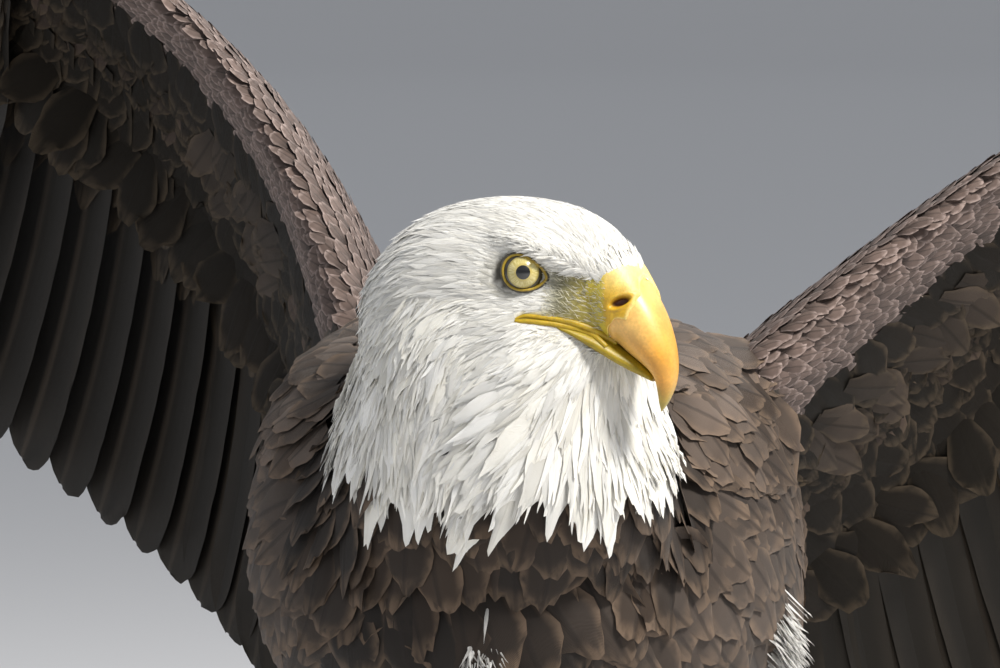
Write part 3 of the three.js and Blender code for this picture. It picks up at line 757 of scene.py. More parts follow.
tone = plus(t, 0.78, times(t, given["Tone"], 0.44))
colour = blend(t, rim, given["Tint"], given["Rim"])
colour = blend(t, times(t, shaft, given["Shaft Amount"]), colour, given["Shaft"])
shade = times(t, minus(t, 1.0, smooth(t, split[1], 0.05, 0.6)), given["Root Shade"])
shade = plus(t, shade, times(t, barbs, given["Barb Depth"]))
dim = times(t, tone, minus(t, 1.0, sums(t, "MINIMUM", shade, 0.9)))
t.links.new(dimmed(t, colour, dim), result["Color"])
t.links.new(plus(t, barbs, times(t, shaft, 1.5)), result["Height"])


def plumage(name, rim, rim_amount, shaft, shaft_amount, barbs, depth, root_shade, roughness, bump, **others):
    """A feather finish: the blade's tint under the shared vane pattern, soft sheen, fine barbs."""
    soft = {"Sheen_Weight": 0.05, "Sheen_Roughness": 0.5, "Specular_IOR_Level": 0.22, **others}
    material, shader = plain_material(name, (0.5, 0.5, 0.5), roughness, **soft)
    tree = material.node_tree
    place = wire(tree, "ShaderNodeUVMap", uv_map="vane").outputs[0]
    shared = (place, kept(tree, "tint")[0], kept(tree, "tone")[1])
    given = (*shared, (*linear(rim), 1), rim_amount, (*linear(shaft), 1), shaft_amount, barbs, depth, root_shade)
    look = wire(tree, "ShaderNodeGroup", enumerate(given), node_tree=vane_look)
    tree.links.new(look.outputs["Color"], shader.inputs["Base Color"])
    relief(tree, shader, look.outputs["Height"], bump, 0.0003)
    return material

# ---------------------------------------------------------------- breast, belly and back
# Contour feathers of the trunk: rounded vanes of dark brown with worn buff rims, each over the
# next like tiles, larger on the back. They grow from the skin and lie towards the tail.
# The pale brown is wear mixed with painted sunlight: it pales the back towards the neck, the shoulders and the breast's
# sides.
BROWN, DARK_BROWN, WORN_AND_LIT = linear("33281f"), linear("1e1813"), linear("6e6056")
WHITE, CREAM, SMOKE = linear("efede7"), linear("e6dfca"), linear("8f8b7c")
brown_vane = plumage("brown_vane", "7f6a57", 0.5, "1c1511", 0.5, 70.0, 0.1, 0.4, 0.62, 0.4)


def mixed(first, second, share):
    """Colours between two, one for each share."""
    return np.asarray(first) + (np.asarray(second) - first) * np.asarray(share)[..., None]


def coat(
    form, sites, flow, inset, length, width, grid, outline, rise, thick, tint, sway=8, keep=None, level=None, **more
):
    """Blades on a form's sites, laid on the skin and swayed a few degrees, with their unwrap place.

    With level, an upward direction and a weight for each site, they lie flatter across that
    direction where the weight is high, as on a wing's thin trailing edge.
    """
    share, angle = sites
    shown, root, normal, way = rooted(form, share, angle, flow, inset)
    if keep is not None:
        shown &= keep

    def pick(value):
        return np.broadcast_to(value, share.shape)[shown]

    root, normal, way = root[shown], normal[shown], way[shown]
    length = pick(length) * rng.uniform(0.88, 1.12, len(root))
    width = pick(width) * rng.uniform(0.92, 1.08, len(root))
    way = turned(way, normal, rng.normal(0, sway, len(root)))
    normal = unit(normal + 0.05 * rng.normal(size=normal.shape))
    drop = laid(root, way, length)
    if level is not None:
        weight = pick(level[1])
        normal = unit(normal + np.asarray(level[0]) * (3 * weight)[:, None])
        drop = drop * (1 - weight)
    low, high = (pick(r) for r in rise)
    high = high * rng.uniform(0.75, 1.25, len(root))
    points, uv = blades(root, way, normal, length, width, grid, outline, (low, high), thick, drop=drop, **more)
    unwrap = round_unwrap(angle, 0.01 + 0.98 * share)[shown]
    return points, uv, grid, np.broadcast_to(tint, (*shown.shape, 3))[shown], unwrap


def trunk_flow(share, angle):
    """Tailwards along the trunk, sinking a little on its sides."""
    return unit(lie(trunk_form, share, angle, -1.0) - 0.3 * UP)


below = tiles(trunk_form, 10.5, 14.5, shares=(0.13, 1.0), angles=(math.radians(75), math.radians(285)))
share, angle = below
front = ramp(share, 0.45, 0.9)
# The breast's browns are dimmed as painted shade, and its sides are paled as painted light.
breast_coat = coat(
    trunk_form, below, trunk_flow(share, angle), 7, 38 + 4 * front, 26 + 3 * front, (7, 7), ROUND, (0.6, 4.0), 0.3,
    mixed(0.72 * mixed(BROWN, DARK_BROWN, rng.random(len(share))), WORN_AND_LIT, 0.3 * ramp(np.abs(np.sin(angle)), 0.6, 1.0)),
)
coat_piece("breast_feathers", [breast_coat], brown_vane)


def shoulders(share, angle):
    """How far a place on the trunk lies on the shoulders, where the feathers stand fullest."""
    return ramp(share, 0.55, 0.72) * ramp(np.abs(np.sin(angle)), 0.3, 0.6) * ramp(np.cos(angle), 0.1, 0.45)


above = tiles(trunk_form, 12.5, 16, shares=(0.19, 0.95), angles=(math.radians(-80), math.radians(80)))
share, angle = above
neckwards = ramp(share, 0.62, 0.9)
shoulder = shoulders(share, angle)
# Towards the neck the back is paled, wear and painted sunlight together.
back_coat = coat(
    trunk_form, above, unit(trunk_flow(share, angle) - 1.2 * UP * neckwards[:, None]), 7,
    44 - 12 * neckwards - 6 * shoulder, 28 - 4 * neckwards - 2 * shoulder, (7, 7), ROUND,
    (1.0 + 5 * shoulder, 4.4 - 1.4 * neckwards + 3 * shoulder), 0.35,
    mixed(BROWN, WORN_AND_LIT, rng.random(len(share)) * (0.3 + 0.6 * neckwards)), keep=(np.abs(angle) < 1.2) | (share > 0.5),
)
scapulars = tiles(trunk_form, 8.5, 11.5, shares=(0.55, 0.94), angles=(math.radians(-85), math.radians(85)))
share, angle = scapulars
shoulder = shoulders(share, angle)
# The scapulars are lightened at random towards the pale brown, wear and painted sunlight together.
scapular_coat = coat(
    trunk_form, scapulars, trunk_flow(share, angle) - 0.8 * UP, 7, 25, 19, (6, 5), ROUND,
    (1.0 + 6 * shoulder, 3.4 + 5 * shoulder), 0.3, mixed(1.2 * BROWN, WORN_AND_LIT, 0.7 * rng.random(len(share))),
    keep=shoulder > 0.2,
)
coat_piece("back_feathers", [back_coat, scapular_coat], brown_vane)

# ---------------------------------------------------------------- white hood
# Narrow pointed hackles fall from the nape and throat over the brown breast, and end in a
# ragged hem. On the head they shorten to small close plumes, smallest round the eye and bill.
white_vane = plumage(
    "white_vane", "ffffff", 0.3, "ece7da", 0.2, 44.0, 0.05, 0.08, 0.6, 0.35,
    Subsurface_Weight=0.3, Subsurface_Scale=0.004, Subsurface_Radius=(1, 0.9, 0.75),
)
HEM_ROUND = [  # degrees from the nape, and how low the white reaches there
    [0, 40, 58, 72, 100, 130, 150, 175, 195, 225, 252, 270, 300, 360],
    [484, 490, 484, 474, 457, 451, 449, 449, 453, 460, 468, 484, 490, 484],
]


def hem_height(angle):
    """How low the white reaches, round the neck from the nape."""
    return np.interp(np.degrees(angle % (2 * np.pi)), *HEM_ROUND)


collar = tiles(neck_form, 11, 15, shares=(0.02, 0.9))
share, angle = collar
collar_coat = coat(
    neck_form, collar, lie(neck_form, share, angle, -1.0) - 0.6 * UP, 8, 38, 25, (7, 7), ROUND,
    (0.5, 4.6), 0.3, mixed(BROWN, DARK_BROWN, rng.random(len(share))),
    keep=between(NECK, share)[:, 2] < np.maximum(hem_height(angle) + 2, 450),
)
coat_piece("collar_feathers", [collar_coat], brown_vane)
BEAK_BASE = head_point([24, 0, -18])


def stream(place, weight):
    """Plumes stream back from the base of the bill, and hang more the farther they are from it."""
    away = place - BEAK_BASE
    far = np.linalg.norm(away, axis=-1, keepdims=True)
    return unit(away / far - UP * (0.1 + weight * ramp(far, 45, 110)))


def hackles(row_gap, gap, shares, length, width, rise, sway, outline, grid):
    """Hackles on the neck above the hem, falling down and outwards, tinted white to cream."""
    sites = tiles(neck_form, row_gap, gap, shares=shares, loose=0.45)
    share, angle = sites
    height = between(NECK, share)[:, 2]
    x, z, *_ = face_masks(neck_form(share, angle))
    behind = np.maximum(-16 - x, -33 - z)
    begun = ramp(behind, 0, 18)
    wander = 3.5 * np.sin(angle * 9) + 3 * np.sin(angle * 17 + 1)
    flow = stream(neck_form(share, angle), 3.2) + 0.12 * lie(neck_form, share, angle, 0.0, np.sin(angle * 5))
    nape = ramp(np.cos(angle), -0.25, 0.3)[:, None]
    flow = unit(unit(flow) * (1 - nape) + lie(neck_form, share, angle, -1.0) * nape)
    size = (0.42 + 0.58 * ramp(-height, -506, -456)) * (0.5 + 0.5 * begun)
    hem = hem_height(angle)
    fuller = 3.0 * (1 - ramp(height - hem, 0, 24))
    tint = mixed(WHITE, CREAM, 0.5 * rng.random(len(share)))
    return coat(
        neck_form, sites, flow, 8, length * size, width * size, grid, outline,
        (rise[0] * begun, rise[1] * (0.3 + 0.7 * begun) + fuller), 0.25, tint,
        sway=sway, keep=(height + wander > hem) & (behind > 0), cup=0.07,
    )


def mouth_line(x):
    """Height of the line of the mouth, from its corner to the bill."""
    return np.interp(x, [-1, 3, 9, 14, 20, 25, 30, 34], [-19.4, -18.9, -19.5, -20.3, -21.8, -24.4, -27.6, -31.4])


def face_masks(place):
    """Head x and z of places, their distance from the nearer eye, and their shares of lore and gape."""
    c, s = math.cos(-HEAD_TURN), math.sin(-HEAD_TURN)
    p = place - HEAD_AT
    x, z = p[..., 0] * c - p[..., 1] * s, p[..., 2]
    from_eye = np.hypot((x + 2) * 0.95, z + 0.5)
    lore = ramp(x, 6, 14) * (1 - ramp(z - brow_edge(x), -1.2, 0.8)) * ramp(z - mouth_line(x), -0.5, 1.5)
    gape = ramp(x, -3, 2) * bell(z, mouth_line(x), 2.4)
    return x, z, from_eye, lore, gape


def plumes(shares, row_gap, gap, size, grid):
    """Head plumes: they run back from the bill and down the cheeks, longer towards the nape."""
    sites = tiles(skull_form, row_gap, gap, shares=shares, loose=0.5)
    share, angle = sites
    x, z, from_eye, lore, gape = face_masks(skull_form(share, angle))
    flow = stream(skull_form(share, angle), 0.9)
    fine = 0.35 + 0.65 * ramp(from_eye, 9, 26)
    keep = (from_eye > np.where(x < -3, 7.9, 8.8)) & (lore < 0.15 + 0.7 * rng.random(len(x)))
    keep &= (gape < 0.4) & (x < 34)
    over_mouth = z - mouth_line(x)
    keep &= ~((x > -1.6) & (over_mouth < 1.6 + 0.05 * x) & (over_mouth > -2.6))
    dusk = 0.8 * (1 - ramp(from_eye, 9.2, 12.0)) * ramp(-z, -9, -1)
    tint = mixed(mixed(WHITE, CREAM, 0.3 * rng.random(len(share))), SMOKE, 0.85 * dusk)
    length = size * (0.45 + 0.95 * ramp(-x, -38, 60)) * fine
    return coat(
        skull_form, sites, flow, 2.6, length, np.maximum(length * 0.21, 1.35), grid, POINTED,
        (0.05, 0.12 + 0.025 * length), 0.08, tint, sway=6, keep=keep, cup=0.1,
    )


long_locks = [hackles(6.2, 6.0, (0.2, 1.0), 43, 15, (0.6, 3.4), 7, LOCK, (7, 5))]
coat_piece("hood_under", long_locks, white_vane)
fine_locks = [hackles(3.0, 2.3, (0.3, 1.0), 33, 4.3, (0.7, 3.2), 6, HACKLE, (7, 3))]
coat_piece("hood_over", fine_locks, white_vane)
crown = [
    plumes((0.0, 0.34), 1.5, 1.15, 11, (5, 3)),
    plumes((0.34, 0.62), 1.9, 1.4, 14, (5, 3)),
    plumes((0.62, 1.0), 2.8, 1.9, 18, (6, 3)),
]
coat_piece("head_plumes", crown, white_vane)

# Tufts of pale down show between the vanes on the breast, the flanks and the shoulders.
DOWN = [  # middle, direction, reach, count, length, white
    [(21, -138, 372), (0, 0.2, -1.0), 7, 70, 15, True],
    [(102, 0, 364), (0.9, 0.1, -1.0), 11, 150, 19, True],
    [(-100, -28, 442), (0, 0.35, -1.0), 26, 40, 26, False],
    [(-84, -12, 474), (0, 0.35, -1.0), 16, 20, 22, False],
    [(98, 2, 452), (0.1, 0.2, -1.0), 20, 26, 18, False],
]
DOWN_BUFF = linear("4e443b")
parts = {True: [], False: []}
for middle, direction, reach, count, length, white in DOWN:
    place, normal = skin_below(np.array(middle, float) + reach * rng.normal(0, 0.5, (count, 3)))
    flatten, stand = (0.4, 1.0) if white else (0.8, 0.5)
    way = np.array(direction) - normal * flatten * (normal @ np.array(direction))[:, None]
    way = turned(unit(way), normal, rng.normal(0, 24, count))
    size = length * rng.uniform(0.6, 1.1, count)
    wide, outline = (0.11, POINTED) if white else (0.66, ROUND)
    rise = (1.5, rng.uniform(3.5, 7, count) * stand)
    points, uv = blades(place, way, normal, size, size * wide, (7, 5), outline, rise, 0.15)
    tint = mixed(DOWN_BUFF, WHITE, 0.25 + 0.6 * rng.random(count) if white else 0.06 * rng.random(count))
    unwrap = np.stack([np.full(count, 0.1 + 0.001 * middle[0]), 0.4 + 0.001 * size], -1)
    parts[white].append((points, uv, (7, 5), tint, unwrap))
coat_piece("down_tufts", parts[True], white_vane)
coat_piece("shoulder_tufts", parts[False], brown_vane)

# The skin under the plumage carries the same markings, with bare olive lores and grey lids.
LORE_GREY, LORE_YELLOW = linear("77745a"), linear("b3a138")
place = mesh_points(skin.data) / MM + MODEL_CENTRE
x, _, from_eye, lore, gape = face_masks(place)
across, ahead = place[:, 0] - 25, place[:, 1] + 118
hooded = ramp(place[:, 2] - hem_height(np.arctan2(across, ahead)), -14, -2)
hooded *= 1 - ramp(np.hypot(across, ahead) - 3 * np.maximum(place[:, 2] - 500, 0), 74, 82)
tint = mixed(DARK_BROWN, mixed(WHITE, SMOKE, 0.25), hooded)
on_head = np.linalg.norm(place - HEAD_AT, axis=1) < 60
round_eye = mixed(mixed(WHITE, SMOKE, 0.5), linear("4a463c"), 1 - ramp(from_eye, 7.4, 8.9))
tint = np.where((on_head & (from_eye < 14))[:, None], round_eye, tint)
lore_tint = mixed(LORE_GREY, LORE_YELLOW, ramp(x, 12, 30))
tint = tint + (lore_tint - tint) * (lore * on_head)[:, None]
tint = tint + (0.6 * LORE_YELLOW - tint) * (np.clip(1.6 * gape, 0, 1) * on_head)[:, None]
skin_tint = tint.astype(np.float32)
store(skin.data, "tint", skin_tint)
skin_finish, shader = plain_material("skin_finish", (0.5, 0.5, 0.5), 0.65)
tree = skin_finish.node_tree
pores = noise(tree, wire(tree, "ShaderNodeTexCoord").outputs["Object"], 700.0, 3.0)
grey = wire(tree, "ShaderNodeValToRGB", {0: pores}).outputs[0]
tree.links.new(blend(tree, 0.5, kept(tree, "tint")[0], grey, "OVERLAY"), shader.inputs["Base Color"])
relief(tree, shader, pores, 0.5, 0.0004)
skin.data.materials.append(skin_finish)
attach(skin, "root")
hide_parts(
    "trunk", "neck", "head", "wing_left_arm", "wing_right_arm", "wing_left_hand", "wing_right_hand",
    "leg_left_thigh", "leg_right_thigh",
)

# ---------------------------------------------------------------- wings
# Each wing has flight feathers set in the hand and forearm, a row of long coverts over their
# roots above and below, and small coverts like scales that wrap the leading edge.
INMOST = dict(count=5, long=(150, 215), wide=44, droop=30, splay=(-24, -13))
SECONDARIES = dict(count=14, long=(228, 322), wide=46, droop=34, splay=(-12, 8), start=96)
PRIMARIES = dict(count=10, wide=60, droop=30, fan=(12, 74), start=34, first_slim=3, slim=0.5)
PRIMARY_LONG = [322, 338, 362, 392, 424, 454, 478, 486, 470, 430]
FLIGHT_GRID, COVERT_GRID = (26, 9), (9, 7)  # rows and columns of points on a feather
TUFTS = dict(left=((0.1, 0.42), (-92, -74)), right=((0.3, 0.55), (-112, -80)))  # shares and angles
# The flight feathers and under coverts are a dark brown darkened to near black, as painted shade under the wings.
SHADED_FLIGHT, SHADED_FLIGHT_PALE, SHADED_LINING = linear("0f0d0b"), linear("1a1714"), linear("130f0c")
SCALE_BROWN = linear("66564f")
matt = dict(Specular_IOR_Level=0.13, Specular_Tint=(1.0, 0.86, 0.66, 1), Sheen_Weight=0.015)
flight_vane = plumage("flight_vane", "352e27", 0.3, "3d352d", 0.6, 170.0, 0.1, 0.15, 0.5, 0.35, **matt)
covert_vane = plumage("covert_vane", "a3918a", 0.75, "2a221c", 0.45, 22.0, 0.08, 0.5, 0.6, 0.4)
lining_vane = plumage("lining_vane", "54483a", 0.5, "100d0a", 0.45, 60.0, 0.1, 0.4, 0.6, 0.4, **matt)


def flight_blades(root, along, up, length, width, droop, slim_from, slim, tip=0.13):
    """Long vanes with a shaft down the middle: the tip is a half oval, the sides step in where an
    outer primary is notched, and the blade sinks by droop * t^2 to its tip."""
    rows, cols = FLIGHT_GRID
    count = len(root)
    up = unit(up - along * np.sum(up * along, -1, keepdims=True))
    side = np.cross(along, up)
    share = np.linspace(0, 1, rows)
    share = 1 - (1 - share) ** 1.5
    s, t = np.meshgrid(np.linspace(-1, 1, cols), share)
    column = (slice(None), None, None)
    quill = 0.35 + 0.65 * ramp(t, 0, 0.22)
    oval = np.sqrt(np.clip(1 - np.clip((t - (1 - tip)) / tip, 0, 1) ** 2, 0.006, 1))
    length, width, droop, slim_from, slim = (a[column] for a in (length, width, droop, slim_from, slim))
    half = width / 2 * quill * oval * (1 - (1 - slim) * ramp(t, slim_from, slim_from + 0.12))
    fray = 0.0035 * rng.normal(size=(count, rows, cols)) * ramp(np.abs(s), 0.7, 1)
    x = length * (t + fray)
    z = -droop * t**2 - 0.12 * half * s**2
    depth = 0.3 * (1 - s**2) + 0.9 * bell(s, 0, 0.16) * (1 - t) + 0.05
    base = root[:, None, None] + along[:, None, None] * x[..., None] + side[:, None, None] * (half * s)[..., None]
    return two_skins(base, up[:, None, None], z, depth, s, t)


def feather_row(kind, share, root, **own):
    """One kind of flight feather: its roots, and each measure once for every root."""
    row = dict(wide=kind["wide"], droop=kind["droop"], slim_from=1.0, slim=1.0)
    if "long" in kind:
        row.update({key: np.interp(share, [0, 1], kind[key]) for key in ("splay", "long")})
    row.update(own)
    return dict(root=root, **{key: np.broadcast_to(np.asarray(row[key], float), len(root)) for key in sorted(row)})


def wing_rows(wing):
    """Roots, directions, upper sides and sizes of all flight feathers, inner to outer."""
    axes = wing_axes(wing)
    arm, upper, trail = axes["arm"], axes["upper"], axes["trail"]
    share = np.linspace(0, 1, INMOST["count"])
    root = along_arm(wing, -18 + 52 * share) + trail * (52 + 16 * share)[:, None] + upper * 7
    kinds = [feather_row(INMOST, share, root)]
    share = np.linspace(0, 1, SECONDARIES["count"])
    root = along_arm(wing, 46 + (ARM_LONG - 50) * share) + trail * (SECONDARIES["start"] - ARM_NOSE) + upper * 6
    kinds.append(feather_row(SECONDARIES, share, root))
    share = np.linspace(0, 1, PRIMARIES["count"])
    root = (
        along_arm(wing, float(ARM_LONG))
        + axes["hand"] * (4 + (HAND_LONG - 26) * share)[:, None]
        + axes["hand_trail"] * (PRIMARIES["start"] + 20 - 50 * share)[:, None]
        + upper * 4
    )
    number = np.arange(PRIMARIES["count"])
    slim = number >= PRIMARIES["first_slim"]
    kinds.append(
        feather_row(
            PRIMARIES, share, root, long=PRIMARY_LONG, slim=np.where(slim, PRIMARIES["slim"], 1.0),
            splay=PRIMARIES["fan"][0] + np.ptp(PRIMARIES["fan"]) * share**0.92,
            slim_from=np.where(slim, 0.45 + 0.02 * (9 - number), 1.0),
        )
    )
    rows = {key: np.concatenate([kind[key] for kind in kinds]) for key in kinds[0]}
    turn = np.radians(rows["splay"])[:, None]
    rows["along"] = unit(trail * np.cos(turn) + arm * np.sin(turn))
    lean = math.radians(-5 * wing["side"])
    rows["up"] = upper * math.cos(lean) + np.cross(rows["along"], upper) * math.sin(lean)
    return rows


def on_wing(
    wing, form, sites, size, width, grid, rise, thick, tint, sway=6, outward=0.35, around=1.0, part_at=1.2
):
    """Coverts on a wing form, lying away from the leading edge and a little towards the tip.
    Towards the trailing edge they level out, so that they lie along the flight feathers."""
    share, angle = sites
    above = np.where(angle >= 0, 1.0, -1.0)
    parting = np.tanh((angle - part_at) / 0.3)
    flow = lie(form, share, angle, outward + 1.2 * (1 - parting**2), around * parting)
    levelled = ramp(np.abs(angle), 1.4, 2.3)
    upper = wing_axes(wing)["upper"] * above.mean().round()
    return coat(
        form, sites, flow, 4.0, size, width, grid, ROUND, rise, thick, tint, sway=sway, level=(upper, levelled)
    )


def band(form, row_gap, gap, first, last, shares=(0.0, 1.0)):
    """Rows of roots that run the length of a wing form, between two angles in degrees."""
    return tiles(form, row_gap, gap, shares, (math.radians(first), math.radians(last)), by_share=False)


def long_coverts(rows, over, lift, back, size, width, count, tint):
    """One row of long coverts over the flight feathers' roots, above with over 1 or below with -1."""
    share = np.linspace(0, len(rows["root"]) - 1, count)
    numbers = np.arange(len(rows["root"]))
    root, along, up = (
        np.stack([np.interp(share, numbers, column) for column in rows[key].T], -1) for key in ("root", "along", "up")
    )
    along = unit(along)
    root = root - along * back + up * (over * lift)
    size = np.interp(share, [0, 6, 18, 28], size) * rng.uniform(0.94, 1.06, count)
    points, uv = blades(
        root, along, up * over, size, np.full(count, width), COVERT_GRID, BROAD, (1.0, 2.0), 0.4, cup=0.12,
        drop=6.0 if over > 0 else -4.0,
    )
    unwrap = np.stack([0.02 + 0.96 * share / 29, np.full(count, 0.5 + 0.45 * over)], -1)
    return points, uv, COVERT_GRID, mixed(tint, tint * 0.7, rng.random(count)), unwrap


scaled = []  # where the skin wears scales
for side_name, wing in WINGS.items():
    rows = wing_rows(wing)
    count = len(rows["root"])
    keys = ("root", "along", "up", "long", "wide", "droop", "slim_from", "slim")
    points, uv = flight_blades(*(rows[key] for key in keys))
    # Near black: their own dark brown with painted shade.
    tint = mixed(SHADED_FLIGHT, SHADED_FLIGHT_PALE, 0.35 * rng.random(count))
    unwrap = np.stack([0.02 + 0.96 * np.arange(count) / count, np.full(count, 0.5)], -1)
    parts = [(points, uv, FLIGHT_GRID, tint, unwrap)]
    flight = coat_piece(f"flight_feathers_{side_name}", parts, flight_vane)
    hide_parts(f"wing_{side_name}_flight")

    arm, hand = arm_form(wing), hand_form(wing)
    # The near-black lining tint carries painted shade into the under coverts and the scales round the edge.
    small, middle, lining = [], [], []
    for form, shares in ((arm, (0.0, 0.97)), (hand, (0.02, 0.94))):
        share, angle = band(form, 6.0, 6.4, -92, 95, shares)
        scaled.append(form(share, angle))
        scale = 1 + 0.25 * ramp(np.abs(angle), 0.9, 1.5)
        tint = mixed(SCALE_BROWN, SHADED_LINING, 0.7 * ramp(np.abs(angle), 0.7, 1.5) + 0.25 * rng.random(len(share)))
        small.append(
            on_wing(
                wing, form, (share, angle), 11.5 * scale, 9.0 * scale, (5, 5), (0.5, 1.5), 0.2, tint,
                outward=1.0, around=0.55, part_at=1.45,
            )
        )
        share, angle = band(form, 8.5, 9, -106, -82, shares)
        tint = mixed(SCALE_BROWN, SHADED_LINING, 0.55 + 0.45 * rng.random(len(share)))
        lining.append(
            on_wing(wing, form, (share, angle), 26, 14, (6, 5), (1.2, 4.0), 0.2, tint, sway=8, outward=0.25)
        )
        share, angle = band(form, 11, 12, 86, 165, (0.08 * (form is arm), shares[1]))
        tint = mixed(BROWN, DARK_BROWN, rng.random(len(share)))
        tint = mixed(0.7 * SCALE_BROWN, tint, ramp(angle, 1.5, 1.9))
        far = ramp(angle, 1.5, 2.5)
        middle.append(
            on_wing(wing, form, (share, angle), 36, 22, (7, 5), (0.8 + 5 * far, 4 + 6 * far), 0.3, tint)
        )
        share, angle = band(form, 9.5, 11, -168, -62, shares)
        tint = mixed(SHADED_LINING, SHADED_FLIGHT, rng.random(len(share)))
        far = ramp(-angle, 1.4, 2.8)
        lining.append(
            on_wing(
                wing, form, (share, angle), 30 + 12 * far, 20 + 5 * far, (7, 5),
                (1.4 + 0.8 * far, 4.5 + 2 * far), 0.3, tint, sway=12, outward=0.2,
            )
        )
    middle.append(long_coverts(rows, 1, 9.0, 22, (80, 105, 115, 120), 34, 44, BROWN))
    lining.append(long_coverts(rows, -1, 1.0, 6, (92, 116, 122, 116), 33, 44, SHADED_LINING))
    lining.append(long_coverts(rows, -1, 2.4, 8, (66, 86, 92, 88), 28, 52, SHADED_LINING * 1.1))
    (near, far), (low, high) = TUFTS[side_name]
    tuft = (rng.uniform(near, far, 20), np.radians(rng.uniform(low, high, 20)))
    lining.append(
        on_wing(
            wing, arm, tuft, 36, 18, (8, 5), (3.4, 6.5), 0.35, mixed(SHADED_LINING, WORN_AND_LIT, 0.12 + 0.16 * rng.random(20)),
            sway=10, outward=0.5,
        )
    )
    for name, parts, look in (
        (f"edge_coverts_{side_name}", small, covert_vane),
        (f"upper_coverts_{side_name}", middle, brown_vane),
        (f"under_coverts_{side_name}", lining, lining_vane),
    ):
        coat_piece(name, parts, look)

# Under the scales the skin takes their brown.
scaled = np.concatenate(scaled)
nearest = KDTree(len(scaled))
for number, place in enumerate(scaled.tolist()):
    nearest.insert(place, number)
nearest.balance()
place = mesh_points(skin.data) / MM + MODEL_CENTRE
on_wings = np.abs(place[:, 0]) > 70
off = np.full(len(place), 99.0)
off[on_wings] = [nearest.find(p)[2] for p in place[on_wings].tolist()]
store(skin.data, "tint", mixed(0.6 * SCALE_BROWN, skin_tint, ramp(off, 7, 11)))

# ---------------------------------------------------------------- tail and its coverts
# Twelve broad white feathers in a half-open fan, with white coverts above and below their
# roots that run back over the rump.
TAIL_COUNT, TAIL_LONG, TAIL_WIDE, TAIL_FAN, TAIL_DROP = 12, 285, 50.0, 24, math.radians(33)
TAIL_ROOT, TAIL_DROOP = np.array([0, 168, 262]), 10.0
tail_back = np.array([0, math.cos(TAIL_DROP), -math.sin(TAIL_DROP)])
tail_upper = np.array([0, math.sin(TAIL_DROP), math.cos(TAIL_DROP)])
sideways = np.array([1.0, 0, 0])
side = np.linspace(-1, 1, TAIL_COUNT)
turn = np.radians(side * TAIL_FAN)[:, None]
along = tail_back * np.cos(turn) + sideways * np.sin(turn)
lean = np.radians(side * 14)[:, None]
flat = tail_upper * np.cos(lean) + np.cross(tail_back, tail_upper) * np.sin(lean)
root = TAIL_ROOT + sideways * (side * 22)[:, None] + tail_upper * (3 - 4 * side**2)[:, None]
every = np.ones(TAIL_COUNT)
points, uv = flight_blades(
    root, along, flat, TAIL_LONG * (1 - 0.05 * side**2), TAIL_WIDE * every, TAIL_DROOP * every, every, every, tip=0.1
)
unwrap = np.stack([0.02 + 0.96 * np.arange(TAIL_COUNT) / TAIL_COUNT, 0.5 * every], -1)
parts = [(points, uv, FLIGHT_GRID, mixed(WHITE, CREAM, 0.3 * rng.random(TAIL_COUNT)), unwrap)]
TAIL_COVERTS = {  # above and below the tail: where rows start, and their length and width
    1: ((-30, 90, 34), (-8, 84, 34), (14, 80, 32)),
    -1: ((-34, 100, 34), (-10, 95, 34), (16, 90, 32)),
}
for over, layers in TAIL_COVERTS.items():
    for start, size, wide in layers:
        count = 9
        fan = np.linspace(-1, 1, count) + 0.04 * rng.normal(size=count)
        turn = np.radians(fan * (TAIL_FAN - 4))[:, None]
        way = tail_back * np.cos(turn) + sideways * np.sin(turn)
        at = TAIL_ROOT + sideways * (fan * (24 - 0.1 * start))[:, None] + way * start
        lift = (16 - 0.22 * start) * (1 - 0.5 * fan**2)
        at = at + tail_upper * (over * lift)[:, None]
        points, uv = blades(
            at, way, np.broadcast_to(tail_upper * over, at.shape), np.full(count, float(size)),
            np.full(count, float(wide)), COVERT_GRID, ROUND, (0, 1.0), 0.4, drop=lift - 2,
        )
        unwrap = np.stack([0.5 + 0.4 * fan, np.full(count, 0.5 + 0.3 * over + 0.002 * start)], -1)
        parts.append((points, uv, COVERT_GRID, mixed(WHITE, CREAM, 0.3 * rng.random(count)), unwrap))
tail = coat_piece("tail_feathers", parts, white_vane)
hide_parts("tail")
rump = tiles(trunk_form, 12, 15, shares=(0.0, 0.19))
share, angle = rump
rump_coat = coat(
    trunk_form, rump, trunk_flow(share, angle), 7, 38, 26, (7, 5), ROUND, (0.3, 2.4), 0.35,
    mixed(WHITE, CREAM, 0.3 * rng.random(len(share))),
)
coat_piece("rump_feathers", [rump_coat], white_vane)

# ---------------------------------------------------------------- eyes and lids
# A pale yellow iris round a black pupil under a glossy cornea that bulges from the ball. The
# eye looks out and ahead. A thin yellow lid rims it, with a point at its front corner.
GAZE_AHEAD, EYE_RADIUS, EYE_OUT = math.radians(30), 9.8, 0.6
CORNEA = 0.9  # how far the cornea stands out from the ball
LID = [  # ahead and up from the middle of the eye, round the lid's opening
    [9.2, -2.2], [7.8, -4.3], [5.0, -6.2], [1.4, -7.1], [-2.4, -6.9], [-5.7, -5.1], [-7.6, -2.0], [-7.9, 1.5],
    [-6.6, 4.6], [-3.9, 6.5], [-0.7, 6.7], [2.4, 5.2], [5.1, 3.3], [7.6, 1.1],
]


